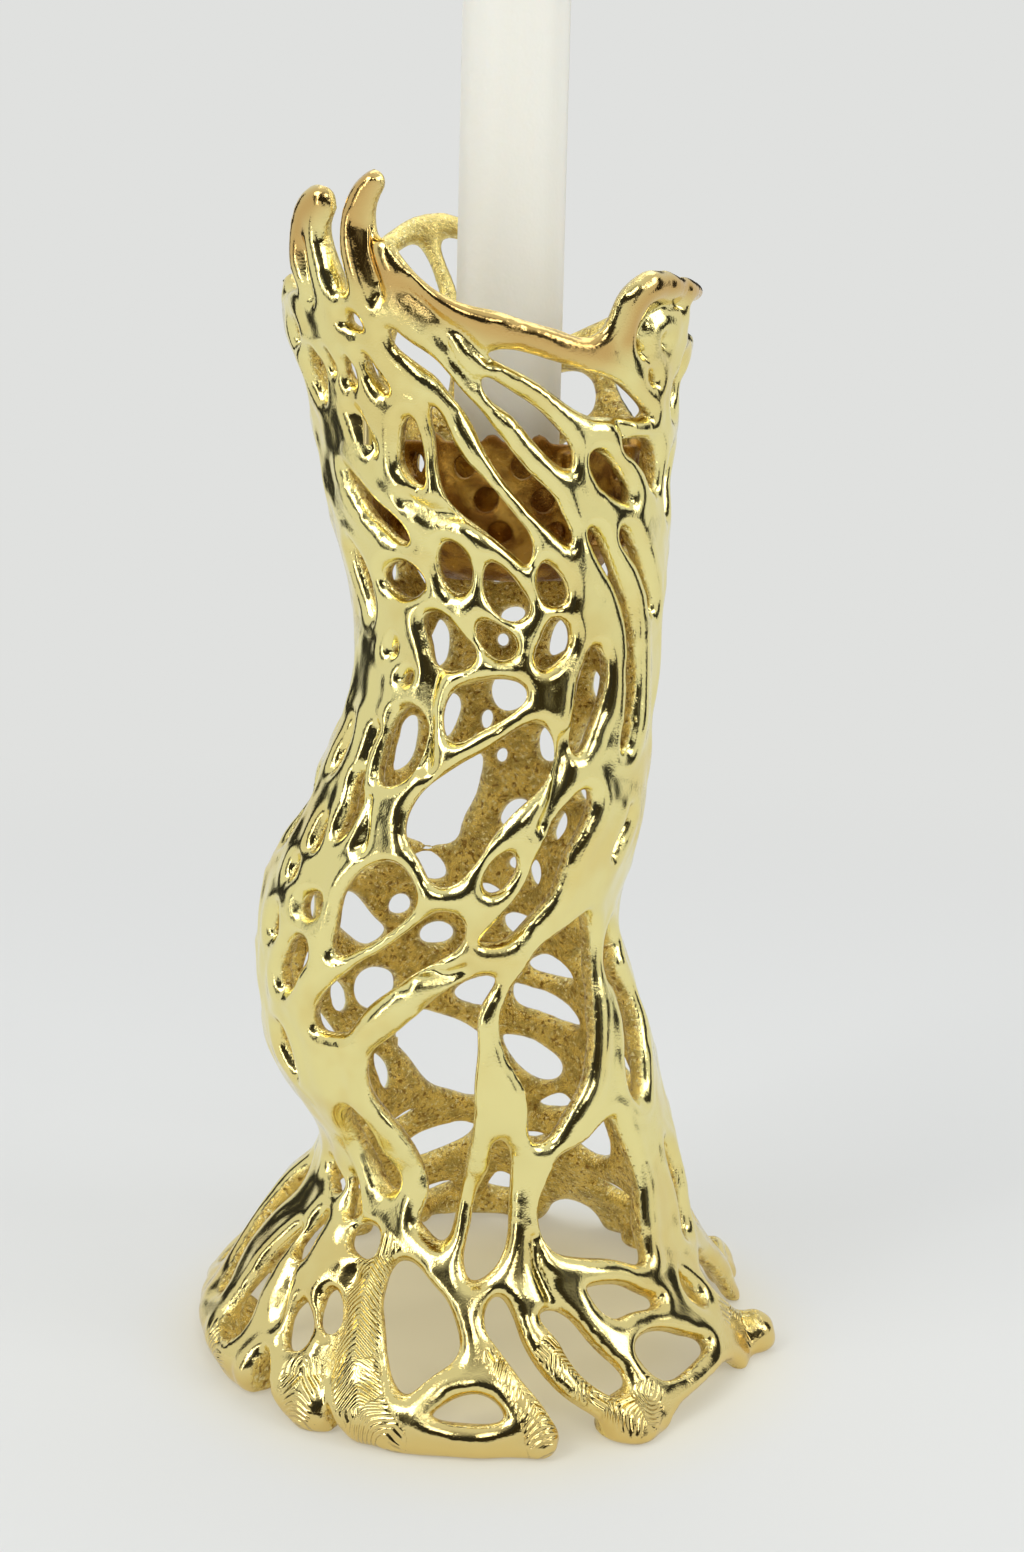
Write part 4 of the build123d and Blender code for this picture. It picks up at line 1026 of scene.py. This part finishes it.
class HOLDER_OT_stage(bpy.types.Operator):
    """Set the floor, the lights, the dark cards and the camera."""

    bl_idname = "holder.stage"
    bl_label = "Stage"

    def execute(self, context):
        scene = context.scene
        settings = scene.holder_stage
        scene.view_settings.view_transform = "Standard"
        self.background(scene, settings)
        self.floor(settings)
        self.lights(settings)
        self.camera(scene)
        return {"FINISHED"}

    @staticmethod
    def background(scene, settings):
        world = bpy.data.worlds.new("studio")
        scene.world = world
        world.use_nodes = True
        sky = Nodes(world.node_tree)
        camera_ray, glossy_ray, clear_ray = (
            sky.node("ShaderNodeLightPath", output=name)
            for name in ("Is Camera Ray", "Is Glossy Ray", "Is Transmission Ray")
        )
        bright = sky.node("ShaderNodeBackground", None, {"Color": tuple(settings.paper) + (1,)})
        room = sky.node("ShaderNodeBackground", None, {"Color": tuple(settings.room) + (1,)})
        fill = sky.node("ShaderNodeBackground", None, {"Color": FILL_WHITE, "Strength": FILL_STRENGTH})
        direction = sky.node("ShaderNodeTexCoord", output="Generated")
        forward = sky.node("ShaderNodeSeparateXYZ", None, {"Vector": direction}, output="Y")
        in_front = sky.spread(0.0 - forward, *ROOM_EDGES) * glossy_ray
        seen = sky.node("ShaderNodeMixShader", None, {0: in_front, 1: bright, 2: room})
        looking = camera_ray + glossy_ray + clear_ray
        shown = sky.node("ShaderNodeMixShader", None, {0: looking, 1: fill, 2: seen})
        sky.node("ShaderNodeOutputWorld", None, {"Surface": shown})

    @staticmethod
    def floor(settings):
        finish = Finish("paper")
        paper = tuple(settings.paper) + (1,)
        away = finish.node(
            "ShaderNodeVectorMath", {"operation": "LENGTH"}, {0: finish.place()}, output="Value"
        )
        # Painted warm light from the gold on the floor near the holder, fading to plain paper
        gold_bounce = finish.mix(finish.spread(away, *GOLD_BOUNCE_EDGES), PAINTED_GOLD_BOUNCE, paper)
        lit = finish.node("ShaderNodeBsdfDiffuse", None, {"Color": gold_bounce})
        # The flat part glows: plain paper far out, and near the holder the painted warm light
        flat = finish.node("ShaderNodeEmission", None, {"Color": gold_bounce})
        fade = FLAT_SHARE + finish.spread(away, *FLAT_EDGES) * (1 - FLAT_SHARE)
        blend = finish.node("ShaderNodeMixShader", None, {0: fade, 1: lit, 2: flat})
        finish.node("ShaderNodeOutputMaterial", None, {"Surface": blend})
        mesh = bpy.data.meshes.new("floor")
        r = FLOOR_REACH
        mesh.from_pydata([(-r, -r, 0), (r, -r, 0), (r, r, 0), (-r, r, 0)], [], [(0, 1, 2, 3)])
        mesh.materials.append(finish.material)
        as_object("floor", mesh)

    @staticmethod
    def lights(settings):
        for name, place, target, width, height, share in LIGHTS:
            area_light(name, place, target, width, height, settings.key_power * share)
        dark = plain_finish("dark_card", CARD_BLACK, metallic=0.0, roughness=0.9)
        for number, (around, up, distance, width, height) in enumerate(DARK_CARDS):
            a, e = math.radians(around), math.radians(up)
            place = (
                distance * math.cos(e) * math.sin(a), -distance * math.cos(e) * math.cos(a),
                TARGET[2] + distance * math.sin(e),
            )
            card("dark_%d" % number, place, width, height, dark)

    @staticmethod
    def camera(scene):
        lens = bpy.data.cameras.new("camera")
        lens.sensor_width = SENSOR
        lens.lens = FOCAL_PIXELS / PHOTO_HEIGHT * SENSOR
        lens.clip_start = NEAREST
        lens.clip_end = FARTHEST
        camera = bpy.data.objects.new("camera", lens)
        scene.collection.objects.link(camera)
        scene.camera = camera
        pitch, yaw, roll = (math.radians(angle) for angle in (CAMERA_PITCH, CAMERA_YAW, CAMERA_ROLL))
        forward = Vector((
            math.sin(yaw) * math.cos(pitch), math.cos(yaw) * math.cos(pitch), -math.sin(pitch)
        ))
        level = forward.cross(Vector((0, 0, 1))).normalized()
        upward = level.cross(forward)
        right = level * math.cos(roll) + upward * math.sin(roll)
        up = upward * math.cos(roll) - level * math.sin(roll)
        turn = Matrix((right, up, -forward)).transposed().to_4x4()
        camera.matrix_world = Matrix.Translation(CAMERA_PLACE) @ turn


class HOLDER_PT_sidebar(bpy.types.Panel):
    """Lists the steps that dress the candle holder."""

    bl_label = "Candle holder"
    bl_idname = "HOLDER_PT_sidebar"
    bl_space_type = "VIEW_3D"
    bl_region_type = "UI"
    bl_category = "Candle Holder"

    def draw(self, context):
        for step in STEPS:
            self.layout.operator(step.bl_idname)
        for key in GROUPS:
            group = getattr(context.scene, key)
            for name in group.__annotations__:
                self.layout.prop(group, name)


STEPS = (HOLDER_OT_castings, HOLDER_OT_cup, HOLDER_OT_pins, HOLDER_OT_candle, HOLDER_OT_stage)
GROUPS = {
    "holder_casting": HolderCastingSettings,
    "holder_finish": HolderFinishSettings,
    "holder_stage": HolderStageSettings,
}


def register():
    for name, group in GROUPS.items():
        bpy.utils.register_class(group)
        setattr(bpy.types.Scene, name, bpy.props.PointerProperty(type=group))
    for step in STEPS:
        bpy.utils.register_class(step)
    bpy.utils.register_class(HOLDER_PT_sidebar)


def unregister():
    bpy.utils.unregister_class(HOLDER_PT_sidebar)
    for step in reversed(STEPS):
        bpy.utils.unregister_class(step)
    for name, group in GROUPS.items():
        delattr(bpy.types.Scene, name)
        bpy.utils.unregister_class(group)


def main():
    register()
    bpy.ops.holder.castings()
    bpy.ops.holder.cup()
    bpy.ops.holder.pins()
    bpy.ops.holder.candle()
    bpy.ops.holder.stage()
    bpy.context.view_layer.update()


if __name__ == "__main__":
    main()
